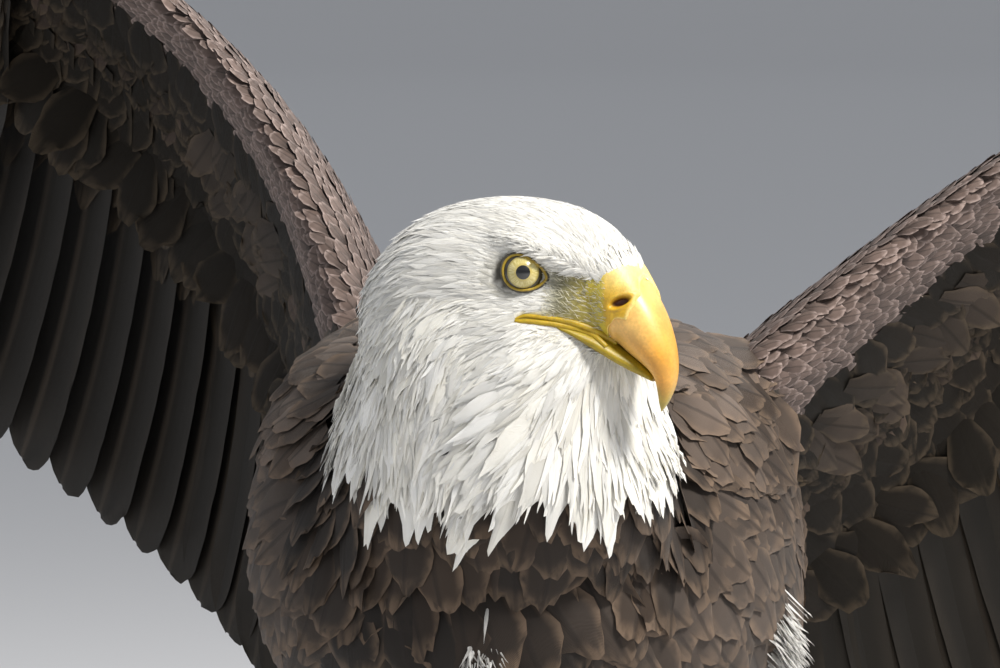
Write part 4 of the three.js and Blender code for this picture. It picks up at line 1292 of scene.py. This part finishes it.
def painted(name, roughness, fine, coarse, depth, bump, **others):
    """A surface whose painted tint is mottled at a fine and a coarse scale, with a fine relief."""
    material, shader = plain_material(name, (0.5, 0.5, 0.5), roughness, **others)
    tree = material.node_tree
    spot = wire(tree, "ShaderNodeTexCoord").outputs["Object"]
    small, large = noise(tree, spot, fine, 4.0), noise(tree, spot, coarse, 3.0)
    both = plus(tree, times(tree, small, 0.4), times(tree, large, 0.6))
    dim = plus(tree, 1.0 - depth / 2, times(tree, smooth(tree, both, 0.35, 0.65), depth))
    tree.links.new(dimmed(tree, kept(tree, "tint")[0], dim), shader.inputs["Base Color"])
    relief(tree, shader, small, bump, 0.0002)
    return material


def eye_axes(side_name, side):
    """Middle of an eye's ball in the head frame, and its gaze, ahead and up directions."""
    gaze = np.array([math.sin(GAZE_AHEAD), side * math.cos(GAZE_AHEAD), 0.0])
    ahead = np.array([math.cos(GAZE_AHEAD), -side * math.sin(GAZE_AHEAD), 0.0])
    return EYE_AT[side_name] + gaze * EYE_OUT, gaze, ahead, UP


def rod(path, radii, sides, up, flat=1.0, ring=False):
    """A tube round a path with a radius at each point, flattened along up. Its ends close in a
    point, or with ring on the path joins itself. Returns points and faces."""
    path = np.asarray(path, float)
    ahead = np.roll(path, -1, 0) - np.roll(path, 1, 0)
    if not ring:
        ahead[0], ahead[-1] = path[1] - path[0], path[-1] - path[-2]
    ahead = unit(ahead)
    across = unit(np.cross(ahead, up))
    over = np.cross(across, ahead)
    angle = np.arange(sides) / sides * 2 * np.pi
    radii = np.asarray(radii, float)[:, None, None]
    grid = path[:, None] + radii * (
        np.cos(angle)[None, :, None] * across[:, None] + flat * np.sin(angle)[None, :, None] * over[:, None]
    )
    count = len(path)
    faces = [face[::-1] for face in quads_between(count, sides, ring)]
    if ring:
        return grid.reshape(-1, 3), faces
    points = np.concatenate([grid.reshape(-1, 3), path[:1], path[-1:]])
    k, last = np.arange(sides), (count - 1) * sides
    near = np.stack([(k + 1) % sides, k, np.full(sides, count * sides)], -1)
    far = np.stack([last + k, last + (k + 1) % sides, np.full(sides, count * sides + 1)], -1)
    return points, faces + near.tolist() + far.tolist()


def ring_curve(corners, count):
    """A closed Catmull-Rom curve through corner points."""
    corners = np.asarray(corners, float)
    around = np.concatenate([corners[-1:], corners, corners[:2]])
    share = (1 + np.arange(count) / count * len(corners)) / (len(around) - 1)
    return between(around, share)


def outward(name, points, faces):
    """A mesh from points in millimetres of the eagle's frame, with its faces turned outward."""
    thing = add_mesh(name, placed(points), faces)
    shape = bmesh.new()
    shape.from_mesh(thing.data)
    bmesh.ops.recalc_face_normals(shape, faces=shape.faces)
    shape.to_mesh(thing.data)
    shape.free()
    return thing


def hard_piece(name, points, faces, look, slot, node=None, tint=None):
    """A piece without feathers, in its look and tint, in place of the solid of its name."""
    piece = outward(name, points, faces)
    if tint is not None:
        store(piece.data, "tint", np.clip(tint, 0, 1))
    piece.data.materials.append(look)
    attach(piece, "root")
    if node:
        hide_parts(node)
    return piece


eye_look, shader = plain_material(
    "eye_look", (0.02, 0.02, 0.02), 0.25, Coat_Weight=1.0, Coat_Roughness=0.03, Coat_IOR=1.45
)
tree = eye_look.node_tree
flat = wire(tree, "ShaderNodeUVMap", uv_map="iris").outputs[0]
parts = wire(tree, "ShaderNodeSeparateXYZ", {0: flat}).outputs
IRIS_WIDE = 24.0  # width in mm that the iris's u and v span
right, high = (times(tree, minus(tree, parts[k], 0.5), IRIS_WIDE) for k in (0, 1))
squares = [times(tree, part, part) for part in (right, high)]
reach = sums(tree, "SQRT", plus(tree, *squares))
spokes = [sums(tree, "DIVIDE", part, reach) for part in (right, high)] + [times(tree, reach, 0.05)]
fibres = noise(tree, wire(tree, "ShaderNodeCombineXYZ", enumerate(spokes)).outputs[0], 11.0, 4.0)
iris = blend(tree, smooth(tree, fibres, 0.35, 0.7), (*linear("b0a05a"), 1), (*linear("cdc286"), 1))
iris = blend(tree, smooth(tree, reach, 3.1, 4.0), (*linear("b5a35a"), 1), iris)
iris = blend(tree, smooth(tree, reach, 5.3, 6.2), iris, (*linear("9a8a4a"), 1))
# Between the iris and the lids the ball is painted dark, darkest next to the iris: the eye's dark rim with painted
# shade under the lids.
outer = blend(tree, smooth(tree, reach, 7.2, 8.6), (*linear("2b2618"), 1), (*linear("57503a"), 1))
colour = blend(tree, smooth(tree, reach, 6.15, 6.4), iris, outer)
colour = blend(tree, smooth(tree, reach, 2.75, 2.9), (0.004, 0.004, 0.005, 1), colour)
tree.links.new(colour, shader.inputs["Base Color"])

rings, sides = 46, 64
LID_STEPS = 84  # points round a lid
LIDS = (  # radius, how far out, how much wider, and two colours of the rim and of the dark skin round it
    (0.58, 0.0, 1.0, ("a88a20", "84701c")),
    (0.55, -0.3, 1.085, ("2e2b24", "48443a")),
)
lid_shapes, lid_tints = [], []
for side_name, side in (("left", 1), ("right", -1)):
    middle, gaze, ahead, up = eye_axes(side_name, side)
    bend, angle = np.meshgrid(np.linspace(0, np.pi, rings + 2)[1:-1], loft_grid(2, sides)[1][0], indexing="ij")
    off = EYE_RADIUS * np.sin(bend)
    bulge = CORNEA * np.clip(1 - (off / 6.4) ** 2, 0, 1) ** 1.5 * (bend < 1.5)
    out = EYE_RADIUS * np.cos(bend) + bulge - CORNEA
    grid = np.stack([off * np.cos(angle), off * np.sin(angle), out], -1).reshape(-1, 3)
    grid = np.concatenate([grid, [[0, 0, EYE_RADIUS], [0, 0, -EYE_RADIUS - CORNEA]]])
    points = head_point(middle + grid[:, :1] * ahead + grid[:, 1:2] * up + grid[:, 2:] * gaze)
    eye = hard_piece(f"eyeball_{side_name}", points, loft_faces(rings, sides), eye_look, "eye", f"eye_{side_name}")
    corner = np.empty(len(eye.data.loops), np.int32)
    eye.data.loops.foreach_get("vertex_index", corner)
    flat = grid[:, :2]
    rim = flat * 9.9 / np.maximum(np.hypot(*flat.T), 1e-3)[:, None]
    front = np.where(grid[:, 2:] > 0, flat, rim)[corner] / IRIS_WIDE + 0.5
    eye.data.uv_layers.new(name="iris").data.foreach_set("uv", front.astype(np.float32).ravel())

    curve = ring_curve(LID, LID_STEPS)
    deep = np.sqrt(np.maximum(EYE_RADIUS**2 - (curve**2).sum(1), 1.0)) - CORNEA
    path = middle + curve[:, :1] * ahead + curve[:, 1:] * up + gaze * deep[:, None]
    start = head_point(path + gaze * 30)
    beam = unit(head_point(path) - start)
    for n, (p, d) in enumerate(zip(placed(start), beam)):
        hit = skin_tree.ray_cast(p.tolist(), d.tolist())[0]
        reach_skin = 30 - (np.linalg.norm(np.array(hit) - p) / MM if hit is not None else 30)
        path[n] += gaze * max(0.25, reach_skin + 0.35)
    for radius, shift, spread, colours in LIDS:
        wide = path + (spread - 1) * (curve[:, :1] * ahead + curve[:, 1:] * up) + gaze * shift
        lid_shapes.append(rod(head_point(wide), np.full(LID_STEPS, radius), 10, head_way(gaze), ring=True))
        lid_tints.append(mixed(linear(colours[0]), linear(colours[1]), rng.random(len(lid_shapes[-1][0]))))
lid_look = painted("lid_look", 0.5, 2500.0, 500.0, 0.25, 0.4)
hard_piece("eyelids", *together(lid_shapes), lid_look, "bill_flesh", tint=np.concatenate(lid_tints))

# ---------------------------------------------------------------- bill
# The upper bill is one hooked loft of horn. The cere sleeves its base, ends in a rolled lip that
# bows forward above the nostril, and runs on as yellow lips to the corner of the mouth.
BILL = [  # ridge x and z, edge x and z, half width, base to hook
    [27, 9.5, 20, -22, 15.5],
    [33, 7, 26, -26.5, 14.8],
    [37.5, 2.2, 31, -29.6, 14],
    [39.5, -0.5, 33, -30.5, 13.2],
    [43.5, -6.5, 37.5, -34, 12.4],
    [49, -15.5, 42.5, -37.5, 10.8],
    [53.2, -25.5, 45.8, -40.6, 8.8],
    [55.6, -35.5, 47.4, -43.6, 6.7],
    [55.4, -44, 47.9, -47.6, 4.6],
    [52.8, -51, 48.2, -52, 2.6],
    [49.6, -55.4, 48.9, -55.6, 0.7],
]
LOWER_BILL = [  # x, top, bottom, half width, throat to tip
    [-7, -17.8, -21, 24.2],
    [4, -18.2, -22.8, 23.8],
    [15, -20.6, -25.4, 20.4],
    [26, -24.9, -32.4, 15.8],
    [34, -30.2, -37.4, 12.2],
    [41, -35.2, -41.2, 8.3],
    [46, -40.6, -43.9, 3.6],
]
CERE_EDGE = [[0, 3.45], [14, 3.8], [30, 4.1], [68, 4.2], [88, 3.85], [101, 3.15], [117, 2.1], [140, 1.7], [180, 1.6]]
NOSTRIL = dict(x=37.4, z=-12.0, long=4.1, tall=1.9, tilt=math.radians(24), deep=3.4)
HORN_MID, HORN_PALE, HORN_TIP = linear("cd9130"), linear("dfb264"), linear("a08e38")
FLESH, FLESH_PALE, MANDIBLE = linear("be961e"), linear("ecd890"), linear("8a780a")


def bill_form(share, angle, inset=0.0):
    """Ovals spanned between the bill's ridge and its cutting edge, in the head frame."""
    row = between(BILL, share)
    ridge = np.stack([row[..., 0], 0 * share, row[..., 1]], -1)
    edge = np.stack([row[..., 2], 0 * share, row[..., 3]], -1)
    reach = (ridge - edge) / 2
    size = np.linalg.norm(reach, axis=-1, keepdims=True)
    stretch = np.maximum(1 - inset / size[..., 0], 0.05)
    out = np.maximum(row[..., 4] - inset, 0.2) * power(np.sin(angle), 0.8)
    p = (ridge + edge) / 2 + reach * (stretch * np.cos(angle))[..., None]
    return p + np.stack([0 * out, out, 0 * out], -1)


def nostril(points):
    """How far inside the nostril's slanting oval points lie: 1 at its rim, 0 at its middle."""
    dx, dz = points[..., 0] - NOSTRIL["x"], points[..., 2] - NOSTRIL["z"]
    c, s = math.cos(NOSTRIL["tilt"]), math.sin(NOSTRIL["tilt"])
    return np.hypot((dx * c + dz * s) / NOSTRIL["long"], (dz * c - dx * s) / NOSTRIL["tall"])


def loft_tints(grid_tints):
    """Colours of a loft's rings, and of the two points that close its ends."""
    return np.concatenate([grid_tints.reshape(-1, 3), grid_tints[0, :1], grid_tints[-1, :1]])


# The horn starts a little under the cere and runs to the hook.
rings, sides = 90, 96


def cere_limit(angle):
    """Where along the bill the cere ends, as a share, round the bill from its ridge."""
    turned_by = np.degrees(np.minimum(angle, 2 * np.pi - angle))
    limit = np.interp(turned_by, *np.array(CERE_EDGE, float).T)
    return (limit + 0.06 * np.sin(angle * 7) + 0.04 * np.sin(angle * 13 + 2)) / 10


def horn_form(share, angle, inset=0.0):
    """The bill from just under its cere to the tip, in the eagle's frame."""
    angle = angle % (2 * np.pi)
    start = cere_limit(angle) - 0.03
    return head_point(bill_form(start + (1 - start) * share, angle, 0.3 + inset))


share, angle = loft_grid(rings, sides)
tint = mixed(HORN_PALE, HORN_MID, ramp(share, 0.1, 0.45) * (0.55 + 0.45 * np.abs(np.sin(angle))))
under = ramp(-np.cos(angle), 0.25, 0.95)
tint = mixed(tint, HORN_PALE, 0.75 * under * (1 - ramp(share, 0.5, 0.8)))
tint = loft_tints(mixed(tint, HORN_TIP, ramp(share, 0.62, 0.92)))
horn_look = painted(
    "horn_look", 0.38, 900.0, 120.0, 0.28, 0.25, Subsurface_Weight=0.15, Subsurface_Scale=0.003,
    Subsurface_Radius=(1.0, 0.6, 0.3), Coat_Weight=0.25, Coat_Roughness=0.3,
)
horn = closed_loft(horn_form, rings, sides, 0.0)
hard_piece("bill_horn", *horn, horn_look, "bill_horn", "bill_upper", tint)

# The cere: rings from behind the forehead's feathers to its front lip, which rolls under.
rings, sides = 84, 192
k, angle = loft_grid(rings, sides)
grid = bill_form(cere_limit(angle) * k, angle, 0.0)
out = unit(np.stack([0.25 + 0 * k, np.sin(angle), 0.6 * np.cos(angle)], -1))
q = nostril(grid) + 9 * (grid[..., 2] > 0)
lip = 0.75 * (1 - np.clip((k - 0.94) / 0.06, 0, 1) ** 2) - 1.6 * ramp(k, 0.97, 1.0)
swell = 0.35 * bell(grid[..., 2], -4, 6) * bell(grid[..., 0], 36, 5)
grid = grid + out * (lip + swell - 3.2 * (1 - ramp(q, 0.5, 1.12)) + 0.35 * bell(q, 1.35, 0.25))[..., None]
points = np.concatenate([grid.reshape(-1, 3), [grid[0].mean(0), grid[-1].mean(0)]])
cere = head_point(points), loft_faces(rings, sides)
# The cere is paler towards its top and at its rolled lip.
pale_top_and_lip = ramp(grid[..., 2], -12, 3) * (0.75 + 0.25 * ramp(grid[..., 0], 30, 38)) + 0.7 * bell(k, 0.97, 0.03)
tint = mixed(FLESH, FLESH_PALE, np.clip(0.85 * pale_top_and_lip, 0, 1))
olive = (1 - ramp(grid[..., 0], 30.2, 32.4)) * (1 - ramp(grid[..., 2], -4, 1))
tint = mixed(tint, LORE_YELLOW, olive)
tint = loft_tints(mixed(linear("522812"), tint, ramp(q, 0.6, 1.0)))
flesh_look = painted("flesh_look", 0.45, 1300.0, 260.0, 0.3, 0.5, Subsurface_Weight=0.12, Subsurface_Scale=0.003)
hard_piece("cere_flesh", *cere, flesh_look, "bill_flesh", "cere", tint)


def mouth_form(share, angle, inset=0.0):
    """The lower bill: flat ovals across the mouth, blunt at the sides."""
    row = between(LOWER_BILL, share)
    x, top, bottom, wide = (row[..., n] for n in range(4))
    out = (wide - inset) * power(np.sin(angle), 0.5)
    z = (top + bottom) / 2 + ((top - bottom) / 2 - inset) * np.cos(angle)
    return head_point(np.stack([x, out, z], -1))


# Lips: the lower bill, and a roll of flesh on each side along its edge and the upper's.
LIP = linear("ab8c10")
MOUTH = [  # x and z of the gap between the bills, its corner to the front
    [-1.2, -19.4], [2.7, -18.9], [8.8, -19.5], [13.9, -20.3], [19.6, -21.8], [25.2, -24.4], [29.6, -27.6], [34, -31.4],
]
ROLLS = (  # upper and lower: how far over the gap, thickness along it, and the share where it ends
    (0.98, (0.5, 0.8, 0.9, 1.1, 1.4, 1.6, 1.6, 1.0), 0.93),
    (-1.1, (0.6, 1.0, 1.1, 1.2, 1.35, 1.4, 1.2, 0.6), 0.9),
)
shapes = [closed_loft(mouth_form, 60, 48, 0.2)]
tints = [mixed(MANDIBLE, LIP, 0.35 * rng.random(len(shapes[0][0])))]
points, faces = together([cere, shapes[0]])
bill_tree = BVHTree.FromPolygons(placed(points).tolist(), faces)
for side in (1, -1):
    aim_in = unit(head_way(np.array([0, -side, 0.0]))).tolist()
    for shift, thick, end in ROLLS:
        t = np.linspace(0, end, 60)
        line = between(MOUTH, t)
        lift = shift * ramp(t, -0.05, 0.12)
        path = np.stack([line[:, 0], np.full(60, side * 45.0), line[:, 1] + lift], -1)
        for n, p in enumerate(placed(head_point(path)).tolist()):
            hits = [near.ray_cast(p, aim_in)[3] for near in (skin_tree, bill_tree)]
            depth = min(h for h in hits if h is not None) / MM
            path[n, 1] -= side * (depth + 0.1)
        path[:, 1] = np.convolve(np.pad(path[:, 1], 4, "edge"), np.ones(9) / 9, "valid")
        radii = between(np.array(thick)[:, None], t)[:, 0]
        shapes.append(rod(head_point(path), radii, 14, UP))
        tints.append(mixed(LIP, MANDIBLE, 0.5 * rng.random(len(shapes[-1][0]))))
hard_piece("lower_bill", *together(shapes), flesh_look, "bill_flesh", "bill_lower", np.concatenate(tints))


def on_cere(share, angle):
    """Places just over the cere, the way along it to the hook, and its outward direction."""
    place, near, beside = (
        head_point(bill_form(share + more, angle + turn, -0.7)) for more, turn in ((0, 0), (1e-3, 0), (0, 1e-3))
    )
    ahead = unit(near - place)
    normal = unit(np.cross(beside - place, ahead))
    return place, ahead, normal * np.sign(np.sum(normal * (place - head_point([30, 0, -10])), -1, keepdims=True))


def flattened(way, normal):
    """Directions laid nearly along a surface."""
    way = unit(way)
    return unit(way - normal * np.sum(way * normal, -1, keepdims=True) * 0.8)


def plume_piece(name, place, way, normal, length, slim, rise, creamy, unwrap, **more):
    """One piece of small white plumes, each creamy by up to a share."""
    points, uv = blades(place, way, normal, length, length * slim, (5, 3), POINTED, rise, 0.08, **more)
    part = (points, uv, (5, 3), mixed(WHITE, CREAM, creamy * rng.random(len(place))), unwrap)
    coat_piece(name, [part], white_vane)


# Forehead plumes run out over the cere's back edge, farthest along the ridge.
count = 3000
angle = np.radians(rng.uniform(-72, 72, count))
limit = np.interp(np.degrees(np.abs(angle)), [0, 13, 28, 50, 72], [3.3, 3.0, 2.25, 1.75, 1.1]) / 10
share = limit * rng.uniform(0.0, 1.0, count) ** 0.7 * (1 + 0.07 * rng.normal(size=count))
place, ahead, normal = on_cere(share, angle)
way = unit(-ahead + 0.06 * rng.normal(size=place.shape))
unwrap = round_unwrap(angle, 0.002 + 0.02 * share)
plume_piece(
    "forehead_plumes", place - normal * 0.4, way, normal, rng.uniform(6, 9, count), 0.34, (0.1, 0.7), 0.3, unwrap,
    drop=0.3, cup=0.06,
)

# A fringe of plumes hangs from the brow's edge over the eye and the bare skin before it.
count = 1000
for_side = np.where(np.arange(count) % 2, 1.0, -1.0)
x = rng.uniform(-7, 33, count)
z = brow_edge(x) + rng.uniform(0.5, 7.0, count)
start = head_point(np.stack([x, for_side * 60, z], -1))
inward, back = head_way(np.array([0, 1.0, 0])), head_way(np.array([-1.0, 0, 0]))
hits = [skin_tree.ray_cast(p, (inward * -s).tolist())[0] for p, s in zip(placed(start).tolist(), for_side)]
place = np.array(hits) / MM + MODEL_CENTRE
_, normal = skin_below(place)
way = flattened(back - 0.02 * UP + 0.08 * rng.normal(size=place.shape), normal)
unwrap = np.stack([0.25 + 0.02 * for_side + 0.0003 * x, 0.2 + 0.003 * x], -1)
plume_piece("brow_fringe", place, way, normal, rng.uniform(5, 8, count), 0.19, (0.1, 0.65), 0.3, unwrap)

# Chin plumes stand on the lower bill's under edge and run back over the throat.
count = 420
for_side = np.where(np.arange(count) % 2, 1.0, -1.0)
x = rng.uniform(8, 28, count)
z = np.interp(x, [8, 15, 22, 28], [-23.6, -25.0, -29.4, -33.6]) + rng.uniform(-1.2, 1.4, count)
start = placed(head_point(np.stack([x, for_side * 60, z], -1)))
found = []
for p, s in zip(start.tolist(), for_side):
    hits = [near.ray_cast(p, (inward * -s).tolist()) for near in (skin_tree, bill_tree)]
    hits = [h for h in hits if h[0] is not None] or [skin_tree.find_nearest(p)]
    found.append(min(hits, key=lambda h: h[3]))
place = np.array([h[0] for h in found]) / MM + MODEL_CENTRE
normal = unit(np.array([h[1] for h in found]))
normal *= np.sign(np.sum(normal * inward, -1) * for_side)[:, None]
way = flattened(back - 0.55 * UP + 0.22 * rng.normal(size=place.shape), normal)
unwrap = np.stack([0.35 + 0.02 * for_side + 0.0003 * x, 0.2 + 0.003 * x], -1)
plume_piece("chin_plumes", place, way, normal, rng.uniform(4, 8, count), 0.13, (0.2, 1.6), 0.6, unwrap)

# Bristles: stiff pale hairs on the bare skin between eye and bill, and at the chin's edge.
sites = tiles(skull_form, 1.3, 1.3, shares=(0.15, 0.6), loose=0.5)
share, angle = sites
from_eye, lore = face_masks(skull_form(share, angle))[2:4]
way = lie(skull_form, share, angle, 1.0, -0.5 * np.sign(np.sin(angle)))
thin = rng.random(len(share)) < 0.75
bristles = coat(
    skull_form, sites, way, 2.6, 2.8, 0.34, (4, 3), POINTED, (0.1, 0.9), 0.08,
    mixed(linear("d9d3ba"), linear("6d6848"), rng.random(len(share)) ** 1.6),
    sway=22, keep=(lore > 0.25) & (from_eye > 9.8) & thin, cup=0.1,
)
count = 900
angle = np.radians(rng.uniform(62, 122, count)) * np.where(rng.random(count) < 0.5, 1, -1)
share = rng.uniform(0.02, 0.28, count)
x, _, z = bill_form(share, angle).T
behind = (x < 32.6) & (z < -3)
share, angle = share[behind], angle[behind]
place, ahead, normal = on_cere(share, angle)
way = unit(-ahead + 0.3 * rng.normal(size=place.shape))
every = np.ones(len(place))
points, uv = blades(
    place - 0.5 * normal, way, normal, 2.6 * every, 0.34 * every, (4, 3), POINTED, (0.1, 0.9), 0.08
)
tint = mixed(linear("d9d3ba"), linear("8d8648"), rng.random(len(place)))
more = (points, uv, (4, 3), tint, round_unwrap(angle, 0.03 + 0.02 * share))
coat_piece("lore_bristles", [bristles, more], white_vane)

# ---------------------------------------------------------------- legs and feet
# Feathered thighs, short bare shanks, three toes ahead and one behind, plated with horny
# scutes above and padded below, each with a curved black claw that comes down to the floor.
thigh_parts = []
for side in (1, -1):
    form = thigh_form(side)
    sites = tiles(form, 11, 13, shares=(0.0, 0.97))
    share, angle = sites
    flow = lie(form, share, angle, 1.0) + np.array([0, 0.15, -0.3])
    thigh_parts.append(
        coat(
            form, sites, flow, 6, 40 - 12 * share, 22 - 8 * share, (7, 5), ROUND, (0.8, 4.5), 0.3,
            mixed(BROWN, DARK_BROWN, rng.random(len(share))),
        )
    )
coat_piece("thigh_feathers", thigh_parts, brown_vane)

SHANK = dict(top=(60, 118), foot=(26, 17), radius_top=9.2, radius_foot=9.6)
TOES = [
    dict(name="inner", turn=-38, long=58, radius=8.2, claw=34, plates=11),
    dict(name="middle", turn=0, long=78, radius=8.0, claw=31, plates=17),
    dict(name="outer", turn=42, long=62, radius=7.4, claw=28, plates=14),
    dict(name="hind", turn=180, long=44, radius=8.4, claw=37, plates=8),
]
FLOOR_GAP, PLATE_DEEP = 0.2, 0.4
CLAW_START = 28  # degrees by which a claw first rises, before it bends down
TOE_ARCH, TOE_SWELL = [[1.6], [1.3], [0.82], [0.76], [0.98]], [[1.05], [1.05], [1.0], [0.9], [0.7]]
LEG_YELLOW, LEG_PALE, LEG_DARK = linear("d9a51a"), linear("e6c665"), linear("8f6a14")
scale_look = painted("scale_look", 0.5, 900.0, 150.0, 0.3, 0.5)
claw_look = painted("claw_look", 0.28, 600.0, 90.0, 0.35, 0.2, Coat_Weight=0.4, Coat_Roughness=0.2)


def plated(path, radii, sides, up, plates, front):
    """A rod with scutes on the side that faces front: each plate swells to its far edge, then
    steps down to the next. Small round scales cover the rest. Returns points, faces and tint."""
    points, faces = rod(path, radii, sides, up)
    rings = len(path)
    grid = points[: rings * sides].reshape(rings, sides, 3)
    away = unit(grid - np.asarray(path)[:, None])
    facing = ramp(np.sum(away * front, -1), 0.05, 0.5)
    t = np.linspace(0, 1, rings)[:, None]
    around = np.arange(sides)[None] / sides * 2 * np.pi
    phase = (t * plates) % 1
    plate = phase**1.5 * (1 - ramp(phase, 0.88, 1.0))
    shifted = np.pi * (np.round(around * 6 / np.pi) % 2)
    pebble = 0.5 + 0.5 * np.sin(t * plates * 2 * np.pi * 1.7 + shifted) * np.sin(around * 6)
    rise = facing * 0.85 * plate + (1 - facing) * 0.45 * pebble
    ends = np.sin(np.pi * np.clip(t, 0.02, 0.98)) ** 0.3
    grid += away * (rise * ends)[..., None]
    shade = facing * (0.35 + 0.65 * np.clip(plate * 1.6, 0, 1)) + (1 - facing) * (0.4 + 0.6 * pebble)
    tint = mixed(LEG_DARK, mixed(LEG_YELLOW, LEG_PALE, 0.35 * facing), shade)
    return points, faces, np.concatenate([tint.reshape(-1, 3), tint[0, :1], tint[-1, :1]])


def fine(rows, count):
    """A table of single values as a smooth run of count values."""
    return between(rows, np.linspace(0, 1, count))[:, 0]


def leg_piece(name, points, faces, tint, look, node, slot):
    """A piece of leg, kept above the floor and put in place of its solid."""
    points[:, 2] = np.maximum(points[:, 2], FLOOR_GAP)
    hard_piece(name, points, faces, look, slot, node, tint)


for side_name, side in (("left", 1), ("right", -1)):
    x = side * LEG_SPREAD
    t = np.linspace(-0.06, 1, 90)
    path = np.stack([np.full(90, x), *(a + (b - a) * t for a, b in zip(SHANK["top"], SHANK["foot"]))], -1)
    grow = SHANK["radius_foot"] - SHANK["radius_top"]
    swell = np.interp(t, [0, 0.12, 0.4, 0.75, 1], [1.06, 1.12, 0.92, 0.96, 1.3])
    swell = np.convolve(np.pad(swell, 6, "edge"), np.ones(13) / 13, "valid")
    radii = (SHANK["radius_top"] + grow * t) * swell - PLATE_DEEP
    shank = plated(path, radii, 36, sideways, 15, np.array([0, -1.0, 0.2]))
    leg_piece(f"shank_{side_name}", *shank, scale_look, f"leg_{side_name}_shank", "scaly_skin")
    for toe in TOES:
        turn = math.radians(side * -toe["turn"])
        way = np.array([-math.sin(turn), -math.cos(turn), 0])
        start = np.array([x, SHANK["foot"][0], 0])
        t = np.linspace(0, 1, 110)
        height = toe["radius"] * fine(TOE_ARCH, 110)
        path = start + way * (6 + toe["long"] * t)[:, None] + UP * height[:, None]
        knuckle = 0.06 * np.cos(2 * np.pi * t * (2 if toe["long"] < 60 else 3))
        radii = toe["radius"] * (fine(TOE_SWELL, 110) + knuckle) - PLATE_DEEP
        shape = plated(path, radii, 30, UP, toe["plates"], UP)
        which = f"{side_name}_{toe['name']}"
        leg_piece(f"toe_{which}_scaled", *shape, scale_look, f"toe_{which}", "scaly_skin")
        t = np.linspace(0, 1, 48)
        sweep, radius = np.radians(-CLAW_START + 118 * t), toe["claw"] / 1.75
        reach = toe["long"] + 2 + radius * (np.sin(sweep) + math.sin(math.radians(CLAW_START)))
        height = toe["radius"] * 1.15 + radius * (np.cos(sweep) - math.cos(math.radians(CLAW_START)))
        height += max(0, 0.9 - height[-1]) * t
        path = start + way * reach[:, None] + UP * height[:, None]
        radii = toe["radius"] * 0.58 * (1 - t) ** 0.8 + 0.35
        points, faces = rod(path, radii, 20, np.cross(way, UP), flat=0.85)
        tint = mixed(linear("3b342d"), linear("0f0d0c"), np.append(np.repeat(ramp(t, 0, 0.35), 20), [0, 1]))
        leg_piece(f"talon_{which}", points, faces, tint, claw_look, f"claw_{which}", "claw_horn")
